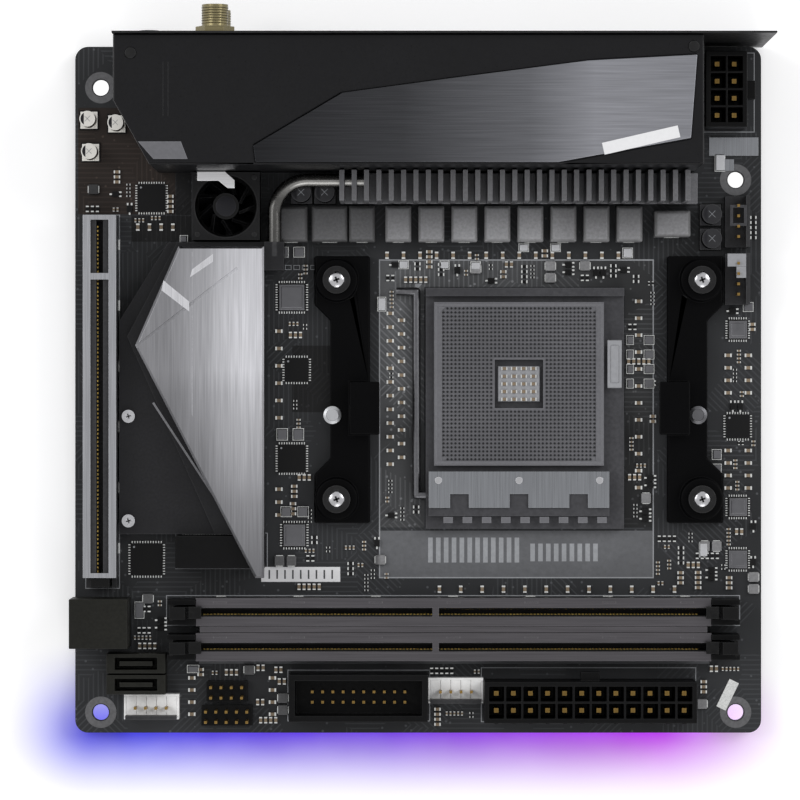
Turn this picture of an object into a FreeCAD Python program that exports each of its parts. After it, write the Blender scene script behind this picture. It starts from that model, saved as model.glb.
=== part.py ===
import FreeCAD, Part
import math
import os
import re
import Sketcher

"""Mini-ITX motherboard, in millimetres.

The origin is the centre of the rear left standoff hole on the underside of the board.
+X runs along the rear edge towards the processor power connector, +Y towards the rear
ports and +Z up from the side that carries the parts.
"""

# Every driving dimension: alias, value in millimetres (or degrees), meaning.
SIZES = [
    ("board_side", 170.18, "board outline, both ways"),
    ("board_thick", 1.6, "board thickness"),
    ("board_round", 3.2, "radius of the board corners"),
    ("hole_radius", 1.98, "standoff hole radius"),
    ("hole_left", 6.35, "left holes to the left board edge"),
    ("hole_rear", 10.16, "rear left hole to the rear board edge"),
    ("hole_pitch_x", 157.48, "left to right standoff holes"),
    ("hole_pitch_y", 154.94, "rear left to front standoff holes"),
    ("hole_drop", 22.86, "rear right hole in front of the rear left one"),
    ("pad_radius", 3.9, "bare pad round each standoff hole"),
    ("pad_thick", 0.1, "height of the bare pad"),
    ("pad_edge", 0.25, "pad set back from the hole"),
    ("seat_gap", 0.3, "gap between pieces that move past each other"),
    ("fit_gap", 0.15, "gap between pieces that are put together"),
    # processor socket
    ("socket_x", 103.6, "socket centre across"),
    ("socket_y", -74.9, "cooler pattern centre"),
    ("socket_wide", 49.0, "socket base across"),
    ("socket_right", 26.0, "socket centre to the right side of its base"),
    ("socket_behind", 25.1, "socket centre to the rear of its base"),
    ("socket_long", 59.5, "socket base front to back"),
    ("socket_tall", 3.2, "socket base height"),
    ("rim_wide", 2.0, "rear rim of the socket base"),
    ("rim_tall", 2.2, "rear rim above the base"),
    ("cover_wide", 42.0, "sliding cover across"),
    ("cover_long", 40.4, "sliding cover front to back"),
    ("cover_tall", 2.0, "sliding cover thickness"),
    ("cover_travel", 1.2, "travel of the sliding cover"),
    ("window_side", 12.0, "square window in the cover"),
    ("field_side", 38.0, "pin field on the cover"),
    ("field_deep", 0.3, "pin field recess"),
    ("cam_long", 11.0, "cam box front to back"),
    ("cam_gap", 1.4, "sliding cover to the cam box"),
    ("cam_wide", 44.6, "cam box and cam plate across"),
    ("cam_plate_thick", 0.6, "cam plate thickness"),
    ("cam_plate_long", 9.0, "cam plate front to back"),
    ("cam_notch", 4.6, "width of each notch in the cam plate"),
    ("cam_notch_deep", 3.4, "depth of each notch in the cam plate"),
    ("cam_notch_pitch", 14.7, "spacing of the notches"),
    ("wire_radius", 1.0, "lever wire radius"),
    ("lever_out", 2.3, "lever arm outside the socket base"),
    ("lever_reach", 50.5, "lever axle to the end of the arm"),
    ("lever_tab", 5.0, "bent end of the lever"),
    ("axle_long", 22.0, "lever axle inside the base"),
    ("axle_up", 2.0, "lever axle above the board"),
    ("axle_back", 6.0, "lever axle in front of the rear of the cam box"),
    # cooler mounting
    ("cooler_pitch_x", 90.0, "cooler holes across"),
    ("cooler_pitch_y", 54.0, "cooler holes front to back"),
    ("bracket_inner", 8.2, "cooler holes to the inner edge of the bracket"),
    ("bracket_outer", 5.6, "cooler holes to the outer edge of the bracket"),
    ("bracket_end", 6.0, "cooler holes to the bracket ends"),
    ("bracket_base", 4.2, "bracket base height"),
    ("bracket_waist", 4.0, "how far the outer edge steps in between the holes"),
    ("bracket_tall", 7.6, "bracket height at the screws"),
    ("boss_radius", 5.2, "bracket boss radius"),
    ("lug_long", 13.0, "cooler lug along the bracket"),
    ("lug_deep", 5.0, "cooler lug across the bracket"),
    ("lug_tall", 12.0, "cooler lug height above the board"),
    ("lug_lip", 2.4, "overhang of the cooler lug"),
    ("lug_shift", 4.6, "cooler lug in front of the pattern centre"),
    ("screw_radius", 1.6, "bracket screw shank radius"),
    ("screw_head", 3.4, "bracket screw head radius"),
    ("screw_head_tall", 2.0, "bracket screw head height"),
    ("screw_long", 6.5, "bracket screw shank length"),
    ("cross_wide", 1.1, "width of the cross in a screw head"),
    ("cross_deep", 1.0, "depth of the cross in a screw head"),
    ("post_radius", 2.8, "backplate post radius"),
    ("post_tall", 2.2, "backplate post above the board"),
    ("plate_thick", 2.5, "backplate thickness"),
    ("film_thick", 0.5, "insulating film thickness"),
    ("plate_margin_x", 6.0, "backplate beyond the cooler holes across"),
    ("plate_margin_y", 7.0, "backplate beyond the cooler holes front to back"),
    ("plate_window", 44.0, "square window in the backplate"),
    # memory slots
    ("memory_x", 87.4, "memory slot centre across"),
    ("memory_y", -129.7, "rear memory slot"),
    ("memory_pitch", 8.6, "spacing of the memory slots"),
    ("memory_long", 127.0, "memory slot body length"),
    ("memory_wide", 6.2, "memory slot body width"),
    ("memory_tall", 8.2, "memory slot height above the board"),
    ("groove_wide", 1.5, "width of the memory groove"),
    ("groove_deep", 6.2, "depth of the memory groove"),
    ("groove_margin", 1.2, "slot body beyond each end of the groove"),
    ("key_x", 83.0, "memory key across"),
    ("key_wide", 1.6, "memory key width"),
    ("tower_long", 7.0, "latch tower length"),
    ("tower_tall", 9.6, "latch tower height above the board"),
    ("armor_thick", 0.3, "metal armour thickness"),
    ("armor_air", 0.1, "armour to plastic"),
    ("armor_tall", 8.0, "height of the armour sides"),
    ("latch_thick", 3.0, "latch thickness"),
    ("latch_tall", 12.4, "latch above its pivot"),
    ("latch_deep", 4.2, "latch from pivot to its outer face"),
    ("latch_inner", 1.6, "latch from pivot to its inner face"),
    ("latch_nose", 3.4, "latch nose inwards from the pivot"),
    ("pivot_up", 3.2, "latch pivot above the board"),
    ("pivot_radius", 0.9, "latch pivot radius"),
    ("pivot_reach", 1.1, "latch pivot beyond the side of the latch"),
    # expansion slot
    ("slot_x", 0.45, "expansion slot centre across"),
    ("slot_front", -121.2, "front end of the expansion slot"),
    ("slot_long", 89.2, "expansion slot length"),
    ("slot_wide", 7.0, "expansion slot width"),
    ("slot_tall", 11.0, "expansion slot height above the board"),
    ("slot_groove_wide", 1.7, "width of the card groove"),
    ("slot_groove_deep", 8.0, "depth of the card groove"),
    ("slot_key", 15.1, "rear end of the slot to its key"),
    ("slot_armor_thick", 0.5, "expansion slot armour thickness"),
    ("slot_mouth_wide", 4.4, "opening along the top of the expansion slot armour"),
    ("slot_latch_thick", 2.0, "card latch thickness"),
    ("slot_latch_wide", 4.6, "card latch width"),
    ("slot_latch_tall", 7.6, "card latch above its pivot"),
    ("slot_pivot_up", 2.2, "card latch pivot above the board"),
    ("slot_ear", 1.2, "thickness of the ears that carry the card latch"),
    # storage heatsink and chipset
    ("sink_left", 4.9, "left edge of the chipset heatsink"),
    ("sink_right", 40.9, "right edge of both heatsinks"),
    ("sink_rear", -38.6, "rear edge of the chipset heatsink"),
    ("sink_front", -110.6, "front edge of the chipset heatsink"),
    ("sink_slant_x", 17.0, "rear end of the slanted corner across"),
    ("sink_slant_y", -58.0, "front end of the slanted corner"),
    ("sink_under", 2.6, "chipset heatsink above the board"),
    ("sink_low", 2.6, "thickness of its low step"),
    ("sink_high", 2.4, "height of its high step above the low one"),
    ("sink_step", 4.6, "high step beyond the storage plate"),
    ("sink_leg", 2.2, "radius of the heatsink legs"),
    ("drive_gap", 3.4, "room for a drive under the storage plate"),
    ("storage_thick", 3.0, "storage plate thickness"),
    ("storage_rear", -39.8, "rear edge of the storage plate"),
    ("storage_top_x", 19.9, "rear left corner of the storage plate"),
    ("storage_side_x", 9.3, "left corner of the storage plate"),
    ("storage_side_y", -64.1, "left corner of the storage plate, front to back"),
    ("storage_front", -121.1, "front corner of the storage plate"),
    ("storage_tip", 2.2, "width of the blunt front corner"),
    ("storage_edge", 0.6, "chamfer round the storage plate"),
    ("storage_groove", 0.5, "facet groove width and depth"),
    ("sheet_thick", 1.0, "thermal pad thickness"),
    ("sheet_margin", 2.6, "thermal pad inside the storage plate"),
    ("chip_side", 21.0, "chipset package side"),
    ("chip_tall", 1.6, "chipset package height"),
    ("chip_x", 26.0, "chipset centre across"),
    ("chip_y", -60.0, "chipset centre front to back"),
    ("socket_drive_long", 8.0, "drive connector front to back"),
    ("socket_drive_wide", 21.9, "drive connector across"),
    ("peg_radius", 1.6, "heatsink screw head radius"),
    ("peg_x", 7.2, "heatsink screws across"),
    ("peg_rear_y", -81.5, "rear heatsink screw"),
    ("peg_front_y", -107.3, "front heatsink screw"),
    ("peg_head", 1.2, "heatsink screw head height"),
    # chipset fan
    ("fan_x", 31.4, "fan centre across"),
    ("fan_y", -29.8, "fan centre front to back"),
    ("fan_side", 16.6, "fan frame side"),
    ("fan_tall", 10.0, "fan frame height"),
    ("fan_floor", 1.4, "fan frame floor"),
    ("fan_bore", 7.6, "fan frame bore radius"),
    ("fan_tip", 7.1, "blade tip radius"),
    ("fan_hub", 3.2, "fan hub radius"),
    ("fan_pin", 0.9, "fan pin radius"),
    ("fan_pin_gap", 0.06, "fan hub bore round the pin"),
    ("blade_thick", 0.9, "fan blade thickness"),
    # regulator
    ("vrm_left", 59.5, "left end of the regulator heatsink"),
    ("vrm_right", 147.6, "right end of the regulator heatsink"),
    ("vrm_rear", -21.5, "rear of the regulator heatsink"),
    ("vrm_deep", 7.6, "regulator heatsink front to back"),
    ("vrm_base", 5.0, "regulator heatsink base thickness"),
    ("vrm_tall", 24.0, "regulator heatsink height"),
    ("fin_thick", 1.2, "fin thickness"),
    ("fin_pitch", 3.0, "fin spacing"),
    ("fet_side", 5.0, "power transistor side"),
    ("fet_tall", 0.9, "power transistor height"),
    ("fet_pitch", 8.3, "power transistor spacing"),
    ("choke_x", 73.8, "left choke across"),
    ("choke_y", -34.0, "choke row"),
    ("choke_pitch", 8.15, "choke spacing"),
    ("choke_wide", 6.4, "choke across"),
    ("choke_deep", 8.8, "choke front to back"),
    ("choke_tall", 7.0, "choke height"),
    ("choke_edge", 0.5, "choke chamfer"),
    ("pipe_radius", 1.7, "heat pipe radius"),
    ("pipe_up", 9.4, "heat pipe centre above the board"),
    ("pipe_bend", 8.0, "heat pipe bend radius"),
    ("pipe_x", 43.4, "heat pipe front run across"),
    ("pipe_in", 6.0, "heat pipe length inside the regulator heatsink"),
    ("pipe_setback", 2.0, "heat pipe in front of the rear of the heatsink"),
    ("ear_long", 7.0, "heatsink ear that holds the heat pipe"),
    # rear shroud and shield
    ("shield_left", 5.3, "left edge of the rear shield"),
    ("shield_wide", 159.1, "rear shield width"),
    ("shield_low", -2.2, "lower edge of the rear shield"),
    ("shield_tall", 44.4, "rear shield height"),
    ("shield_out", 0.6, "outer face of the shield beyond the board edge"),
    ("shield_thick", 0.5, "rear shield thickness"),
    ("shield_lip", 0.2, "raised border of the shield"),
    ("shield_border", 2.6, "width of the raised border"),
    ("shroud_left", 5.5, "left side of the shroud"),
    ("shroud_right", 147.0, "right side of the shroud"),
    ("shroud_front", -21.1, "front of the shroud"),
    ("shroud_cut_x", 14.2, "slanted shroud corner across"),
    ("shroud_cut_y", -5.6, "slanted shroud corner front to back"),
    ("shroud_tall", 38.6, "shroud height above the board"),
    ("shroud_wall", 1.6, "shroud wall"),
    ("insert_thick", 1.2, "silver insert thickness"),
    ("insert_edge", 0.5, "insert to the front edge of the shroud"),
    ("insert_left", 39.1, "left end of the insert"),
    ("insert_left_y", -16.6, "left end of the insert front to back"),
    ("insert_knee_x", 60.5, "first bend of the insert across"),
    ("insert_knee_y", -3.9, "first bend of the insert front to back"),
    ("insert_mid_x", 85.8, "second bend of the insert across"),
    ("insert_mid_y", -0.5, "second bend of the insert front to back"),
    ("insert_far_x", 119.3, "third bend of the insert across"),
    ("insert_far_y", 3.8, "third bend of the insert front to back"),
    ("insert_rear_y", 5.2, "rear right corner of the insert"),
    ("insert_slant", 3.1, "slant of the right end of the insert"),
    ("insert_lower_y", -14.8, "lower right corner of the insert"),
    ("insert_return_x", 112.1, "where the insert meets the front of the shroud"),
    # rear connectors
    ("port_margin", 0.25, "shield window round each port"),
    ("port_proud", 0.8, "ports beyond the outer face of the shield"),
    ("can_wall", 0.5, "port can wall"),
    ("tongue_thick", 1.8, "port tongue thickness"),
    ("audio_x", 13.6, "audio jacks across"),
    ("audio_wide", 12.6, "audio jack block width"),
    ("audio_deep", 12.4, "audio jack block depth"),
    ("audio_pitch", 11.0, "audio jack spacing upwards"),
    ("audio_bore", 1.8, "audio jack bore radius"),
    ("audio_ring", 4.0, "audio jack collar radius"),
    ("audio_tall", 33.0, "audio jack block height"),
    ("antenna_x", 29.5, "antenna jacks across"),
    ("antenna_low", 12.0, "lower antenna jack above the board"),
    ("antenna_pitch", 16.0, "antenna jack spacing upwards"),
    ("antenna_thread", 3.175, "antenna thread radius"),
    ("antenna_out", 7.3, "antenna thread beyond the shield"),
    ("antenna_bore", 2.3, "antenna jack bore radius"),
    ("antenna_pin", 0.45, "antenna jack centre pin radius"),
    ("antenna_hex", 4.7, "antenna nut radius over the corners"),
    ("antenna_nut", 2.0, "antenna nut height"),
    ("radio_wide", 13.0, "wireless module can width"),
    ("radio_deep", 5.0, "wireless module can depth"),
    ("radio_tall", 30.0, "wireless module can height"),
    ("radio_gap", 8.0, "shield to the wireless module can"),
    ("net_x", 46.0, "network stack across"),
    ("net_wide", 16.4, "network stack width"),
    ("net_deep", 21.0, "network stack depth"),
    ("net_tall", 29.6, "network stack height"),
    ("net_port_wide", 11.8, "network socket width"),
    ("net_port_tall", 8.4, "network socket height"),
    ("net_port_deep", 12.0, "network socket depth"),
    ("usb_first_x", 65.0, "first USB stack across"),
    ("usb_pitch_x", 18.2, "USB stack spacing"),
    ("usb_wide", 14.6, "USB stack width"),
    ("usb_deep", 17.6, "USB stack depth"),
    ("usb_tall", 15.8, "USB stack height"),
    ("usb_port_wide", 12.5, "USB socket width"),
    ("usb_port_tall", 5.1, "USB socket height"),
    ("usb_port_deep", 10.0, "USB socket depth"),
    ("usb_pitch_up", 7.6, "USB socket spacing upwards"),
    ("usbc_x", 101.0, "USB-C stack across"),
    ("usbc_port_wide", 8.4, "USB-C socket width"),
    ("usbc_port_tall", 2.7, "USB-C socket height"),
    ("usbc_tongue", 0.7, "USB-C tongue thickness"),
    ("video_deep", 12.6, "display port depth"),
    ("video_port_deep", 8.0, "display socket depth"),
    ("hdmi_x", 117.8, "first display port across"),
    ("hdmi_wide", 15.2, "first display port width"),
    ("hdmi_tall", 6.4, "first display port height"),
    ("dp_x", 135.6, "second display port across"),
    ("dp_wide", 17.2, "second display port width"),
    ("dp_tall", 6.8, "second display port height"),
    # power connectors
    ("power_pitch", 4.2, "power contact spacing"),
    ("power_cell", 3.6, "power contact cell"),
    ("power_deep", 10.0, "power contact cell depth"),
    ("power_tall", 12.8, "power connector height"),
    ("power_wall", 0.9, "power connector wall"),
    ("power_pin", 1.1, "power pin side"),
    ("catch_thick", 2.2, "power connector catch"),
    ("catch_wide", 4.6, "power connector catch width"),
    ("eps_x", 154.3, "processor power connector across"),
    ("eps_y", -1.2, "processor power connector front to back"),
    ("main_x", 121.0, "main power connector across"),
    ("main_y", -151.7, "main power connector front to back"),
    # headers
    ("usb3_x", 64.0, "front USB header across"),
    ("usb3_y", -150.8, "front USB header front to back"),
    ("usb3_long", 34.2, "front USB header length"),
    ("usb3_wide", 11.6, "front USB header width"),
    ("usb3_tall", 11.0, "front USB header height"),
    ("usb3_wall", 1.5, "front USB header wall"),
    ("usb3_floor", 2.0, "front USB header floor"),
    ("pin_pitch", 2.54, "header pin spacing"),
    ("pin_side", 0.64, "header pin side"),
    ("pin_tall", 8.5, "header pin height above the board"),
    ("pin_base", 2.5, "header base height"),
    ("fan_header_wall", 1.0, "fan header back wall"),
    ("fan_header_tall", 7.6, "fan header back wall height"),
    ("fan_header_deep", 5.8, "fan header front to back"),
    ("fan_header_wide", 12.6, "fan header across"),
    # storage connectors
    ("sata_out", 0.6, "storage connector beyond the left board edge"),
    ("sata_deep", 14.4, "storage connector depth"),
    ("sata_wide", 12.2, "storage connector width"),
    ("sata_tall", 13.6, "storage connector height"),
    ("sata_rear", -126.3, "rear of the storage connector"),
    ("sata_mouth", 10.4, "storage socket width"),
    ("sata_mouth_tall", 3.0, "storage socket height"),
    ("sata_mouth_deep", 6.0, "storage socket depth"),
    ("sata_blade", 1.1, "storage contact blade thickness"),
    ("sata_up_x", 9.2, "upright storage connectors across"),
    ("sata_up_y", -142.4, "upright storage connector front to back"),
    ("sata_up_long", 14.6, "upright storage connector length"),
    ("sata_up_wide", 4.8, "upright storage connector width"),
    ("sata_up_pitch", 5.2, "upright storage connector spacing"),
    ("sata_up_tall", 8.6, "upright storage connector height"),
    # loose small parts
    ("cap_radius", 2.1, "audio capacitor radius"),
    ("cap_tall", 6.6, "audio capacitor height"),
    ("cap_foot", 0.6, "capacitor foot height"),
    ("power_cap_radius", 2.6, "power capacitor radius"),
    ("power_cap_tall", 8.0, "power capacitor height"),
    ("small_tall", 0.55, "height of the smallest parts"),
    ("strip_long", 146.0, "light strip length"),
    ("strip_wide", 2.6, "light strip front to back"),
    ("strip_thick", 1.4, "light strip thickness"),
    ("strip_in", 0.9, "light strip behind the front edge"),
    ("cell_radius", 8.0, "clock battery radius"),
    ("cell_thick", 3.2, "clock battery thickness"),
]

ALIASES = {alias for alias, value, meaning in SIZES}
WORD = re.compile(r"[a-z]\w*")

# Places that follow from the driving dimensions.
TOP = "board_thick"
BOARD_LEFT = "(-hole_left)"
BOARD_RIGHT = "(board_side - hole_left)"
BOARD_REAR = "hole_rear"
BOARD_FRONT = "(hole_rear - board_side)"
SHIELD_OUT = "(hole_rear + shield_out)"
SHIELD_IN = "(hole_rear + shield_out - shield_thick)"
HOLES = [
    ("0", "0"),
    ("hole_pitch_x", "-hole_drop"),
    ("0", "-hole_pitch_y"),
    ("hole_pitch_x", "-hole_pitch_y"),
]
COOLER_HOLES = [
    (f"socket_x + {across} * cooler_pitch_x / 2", f"socket_y + {along} * cooler_pitch_y / 2")
    for across in (-1, 1)
    for along in (-1, 1)
]

doc = FreeCAD.newDocument("motherboard")
sheet = doc.addObject("Spreadsheet::Sheet", "sizes")
for row, (alias, value, meaning) in enumerate(SIZES, start=1):
    sheet.set(f"A{row}", meaning)
    sheet.set(f"B{row}", str(value))
    sheet.setAlias(f"B{row}", alias)
doc.recompute()

NODES = []


def size(alias):
    """Return one size from the sheet."""
    return float(sheet.get(alias))


def tied(formula):
    """Write a formula of size names the way the sheet is addressed."""
    return WORD.sub(lambda word: f"sizes.{word[0]}" if word[0] in ALIASES else word[0], str(formula))


def bind(item, prop, formula):
    """Tie one property of an item to a formula of sizes."""
    item.setExpression(prop, tied(formula))


def place(item, x, y, z):
    """Tie the place of an item to three formulas."""
    bind(item, "Placement.Base.x", x)
    bind(item, "Placement.Base.y", y)
    bind(item, "Placement.Base.z", z)
    return item


def block(x, y, z, wide, deep, tall):
    """Make a box from its lowest corner."""
    item = doc.addObject("Part::Box", "block")
    bind(item, "Length", wide)
    bind(item, "Width", deep)
    bind(item, "Height", tall)
    return place(item, x, y, z)


def middle(x, y, z, wide, deep, tall):
    """Make a box that is centred across and front to back."""
    return block(f"{x} - ({wide}) / 2", f"{y} - ({deep}) / 2", z, wide, deep, tall)


def rod(x, y, z, radius, length, axis=(0, 0, 1)):
    """Make a cylinder that starts at a point and runs along an axis."""
    item = doc.addObject("Part::Cylinder", "rod")
    turn = FreeCAD.Rotation(FreeCAD.Vector(0, 0, 1), FreeCAD.Vector(*axis))
    item.Placement = FreeCAD.Placement(FreeCAD.Vector(), turn)
    bind(item, "Radius", radius)
    bind(item, "Height", length)
    return place(item, x, y, z)


def fuse(*items):
    """Join items into one solid."""
    if len(items) == 1:
        return items[0]
    item = doc.addObject("Part::MultiFuse", "fuse")
    item.Shapes = list(items)
    item.Refine = True
    return item


def cut(base, *tools):
    """Cut tools out of a base."""
    item = doc.addObject("Part::Cut", "cut")
    item.Base = base
    item.Tool = fuse(*tools)
    item.Refine = True
    return item


def group(items):
    """Keep separate solids together in one object."""
    item = doc.addObject("Part::Compound", "group")
    item.Links = list(items)
    return item


def keep(name, item):
    """Name a finished sub-part."""
    item.Label = name
    NODES.append(item)
    return item


def new_body():
    """Make an empty body for sketched features."""
    return doc.addObject("PartDesign::Body", "body")


def sketch_on(body, role, offset="0"):
    """Attach a sketch to one of the body's origin planes, raised along its normal."""
    sketch = body.newObject("Sketcher::SketchObject", "sketch")
    plane = [item for item in body.Origin.OriginFeatures if item.Role == role][0]
    sketch.AttachmentSupport = [(plane, "")]
    sketch.MapMode = "FlatFace"
    bind(sketch, "AttachmentOffset.Base.z", offset)
    return sketch


def draw_outline(sketch, points):
    """Draw a closed outline whose corners are tied to formulas."""
    count = len(points)
    first = sketch.GeometryCount
    spots = [
        FreeCAD.Vector(math.cos(math.tau * i / count), math.sin(math.tau * i / count), 0)
        for i in range(count)
    ]
    for i in range(count):
        sketch.addGeometry(Part.LineSegment(spots[i], spots[(i + 1) % count]), False)
    for i in range(count):
        following = first + (i + 1) % count
        sketch.addConstraint(Sketcher.Constraint("Coincident", first + i, 2, following, 1))
    for i, (x, y) in enumerate(points):
        for kind, start, formula in (("DistanceX", spots[i].x, x), ("DistanceY", spots[i].y, y)):
            number = sketch.addConstraint(Sketcher.Constraint(kind, -1, 1, first + i, 1, start))
            bind(sketch, f"Constraints[{number}]", formula)


def draw_circle(sketch, x, y, radius):
    """Draw a circle whose centre and radius are tied to formulas."""
    number = sketch.addGeometry(
        Part.Circle(FreeCAD.Vector(1, 1, 0), FreeCAD.Vector(0, 0, 1), 1), False
    )
    for constraint, formula in (
        (Sketcher.Constraint("DistanceX", -1, 1, number, 3, 1), x),
        (Sketcher.Constraint("DistanceY", -1, 1, number, 3, 1), y),
        (Sketcher.Constraint("Radius", number, 1), radius),
    ):
        bind(sketch, f"Constraints[{sketch.addConstraint(constraint)}]", formula)


def pad(body, sketch, length, both_ways=False):
    """Raise a sketch into a solid."""
    item = body.newObject("PartDesign::Pad", "pad")
    item.Profile = sketch
    bind(item, "Length", length)
    if both_ways:
        item.SideType = "Symmetric"
    body.Tip = item
    return item


def pocket(body, sketch, depth, upwards=False):
    """Sink a sketch into the solid, down from its plane unless told otherwise."""
    item = body.newObject("PartDesign::Pocket", "pocket")
    item.Profile = sketch
    bind(item, "Length", depth)
    item.Reversed = upwards
    body.Tip = item
    return item


def trim_edges(body, kind, chosen, amount):
    """Round or chamfer the edges of the body's last feature that a test chooses."""
    doc.recompute()
    base = body.Tip
    names = [f"Edge{i}" for i, edge in enumerate(base.Shape.Edges, start=1) if chosen(edge)]
    item = body.newObject(f"PartDesign::{kind}", kind.lower())
    item.Base = (base, names)
    bind(item, "Radius" if kind == "Fillet" else "Size", amount)
    body.Tip = item
    return item


def is_upright(edge):
    """Tell whether an edge runs straight up."""
    if not isinstance(edge.Curve, Part.Line):
        return False
    return abs(edge.Curve.Direction.z) > 0.999


def make_board():
    """Circuit board with its standoff and cooler holes, and the bare pads round the holes."""
    body = new_body()
    outline = sketch_on(body, "XY_Plane")
    corners = [
        (BOARD_LEFT, BOARD_FRONT),
        (BOARD_RIGHT, BOARD_FRONT),
        (BOARD_RIGHT, BOARD_REAR),
        (BOARD_LEFT, BOARD_REAR),
    ]
    draw_outline(outline, corners)
    pad(body, outline, TOP)
    trim_edges(body, "Fillet", is_upright, "board_round")
    holes = sketch_on(body, "XY_Plane")
    for x, y in HOLES:
        draw_circle(holes, x, y, "hole_radius")
    for x, y in COOLER_HOLES:
        draw_circle(holes, x, y, "post_radius + fit_gap")
    pocket(body, holes, TOP, upwards=True)
    keep("circuit_board", body)
    rings = []
    for x, y in HOLES:
        disc = rod(x, y, TOP, "pad_radius", "pad_thick")
        rings.append(cut(disc, rod(x, y, TOP, "hole_radius + pad_edge", "pad_thick")))
    keep("standoff_pads", group(rings))


def make_backplate():
    """Steel plate and its insulating film under the board, with the four screw posts."""
    wide = "(cooler_pitch_x + 2 * plate_margin_x)"
    long = "(cooler_pitch_y + 2 * plate_margin_y)"
    low = "(-film_thick - plate_thick)"
    plate = middle("socket_x", "socket_y", low, wide, long, "plate_thick")
    posts = [
        rod(x, y, low, "post_radius", f"{TOP} + post_tall - {low}") for x, y in COOLER_HOLES
    ]
    bores = [
        rod(x, y, low, "screw_radius + fit_gap", f"{TOP} + post_tall - {low}")
        for x, y in COOLER_HOLES
    ]
    window = middle("socket_x", "socket_y", low, "plate_window", "plate_window", "plate_thick")
    keep("cooler_backplate", cut(fuse(plate, *posts), window, *bores))
    film = middle("socket_x", "socket_y", "-film_thick", wide, long, "film_thick")
    openings = [
        rod(x, y, "-film_thick", "post_radius + fit_gap", "film_thick") for x, y in COOLER_HOLES
    ]
    window = middle(
        "socket_x", "socket_y", "-film_thick", "plate_window", "plate_window", "film_thick"
    )
    keep("backplate_film", cut(film, window, *openings))


def make_brackets():
    """Plastic brackets on both sides of the socket that a cooler hooks on to."""
    for name, side in (("cooler_bracket_left", -1), ("cooler_bracket_right", 1)):
        column = f"(socket_x + {side} * cooler_pitch_x / 2)"
        inner = f"({column} - {side} * bracket_inner)"
        outer = f"({column} + {side} * bracket_outer)"
        waist = f"({outer} - {side} * bracket_waist)"
        ends = {
            along: f"(socket_y + {along} * (cooler_pitch_y / 2 + bracket_end))" for along in (-1, 1)
        }
        steps = {
            along: f"(socket_y + {along} * (cooler_pitch_y / 2 - bracket_end))"
            for along in (-1, 1)
        }
        body = new_body()
        outline = sketch_on(body, "XY_Plane", TOP)
        corners = [
            (inner, ends[-1]),
            (outer, ends[-1]),
            (outer, steps[-1]),
            (waist, f"({steps[-1]} + bracket_waist)"),
            (waist, f"({steps[1]} - bracket_waist)"),
            (outer, steps[1]),
            (outer, ends[1]),
            (inner, ends[1]),
        ]
        draw_outline(outline, corners)
        pad(body, outline, "bracket_base")
        rounds = sketch_on(body, "XY_Plane", f"{TOP} + bracket_base")
        for along in (-1, 1):
            draw_circle(rounds, column, f"socket_y + {along} * cooler_pitch_y / 2", "boss_radius")
        pad(body, rounds, "bracket_tall - bracket_base")
        shank = sketch_on(body, "XY_Plane", TOP)
        for along in (-1, 1):
            y = f"socket_y + {along} * cooler_pitch_y / 2"
            draw_circle(shank, column, y, "screw_radius + fit_gap")
        pocket(body, shank, "bracket_tall", upwards=True)
        socket = sketch_on(body, "XY_Plane", TOP)
        for along in (-1, 1):
            y = f"socket_y + {along} * cooler_pitch_y / 2"
            draw_circle(socket, column, y, "post_radius + fit_gap")
        pocket(body, socket, "post_tall + fit_gap", upwards=True)
        lug_y = "(socket_y - lug_shift)"
        stem = middle(
            f"({inner} + {side} * lug_deep / 2)",
            lug_y,
            f"{TOP} + bracket_base",
            "lug_deep",
            "lug_long",
            "lug_tall - bracket_base",
        )
        lip = middle(
            f"({inner} + {side} * (lug_deep / 2 - lug_lip / 2))",
            lug_y,
            f"{TOP} + lug_tall - lug_lip",
            "lug_deep + lug_lip",
            "lug_long",
            "lug_lip",
        )
        keep(name, fuse(body, stem, lip))
    screws = []
    for x, y in COOLER_HOLES:
        seat = f"({TOP} + bracket_tall)"
        head = rod(x, y, seat, "screw_head", "screw_head_tall")
        shank = rod(x, y, f"{seat} - screw_long", "screw_radius", "screw_long")
        floor = f"{seat} + screw_head_tall - cross_deep"
        slots = [
            middle(x, y, floor, "cross_wide", "screw_head * 1.3", "cross_deep"),
            middle(x, y, floor, "screw_head * 1.3", "cross_wide", "cross_deep"),
        ]
        screws.append(cut(fuse(head, shank), *slots))
    keep("bracket_screws", group(screws))


SOCKET_LEFT = "(socket_x + socket_right - socket_wide)"
SOCKET_REAR = "(socket_y + socket_behind)"
SOCKET_FRONT = "(socket_y + socket_behind - socket_long)"
BASE_TOP = "(board_thick + socket_tall)"
COVER_REAR = "(socket_y + socket_behind - rim_wide - seat_gap - cover_travel)"
CAM_REAR = f"({COVER_REAR} - cover_long - cam_gap)"
AXLE_Y = f"({CAM_REAR} - axle_back)"
AXLE_Z = "(board_thick + axle_up)"
COVER_LOW = f"({BASE_TOP} + fit_gap)"
CAM_TOP = f"({COVER_LOW} + cover_tall)"


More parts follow.
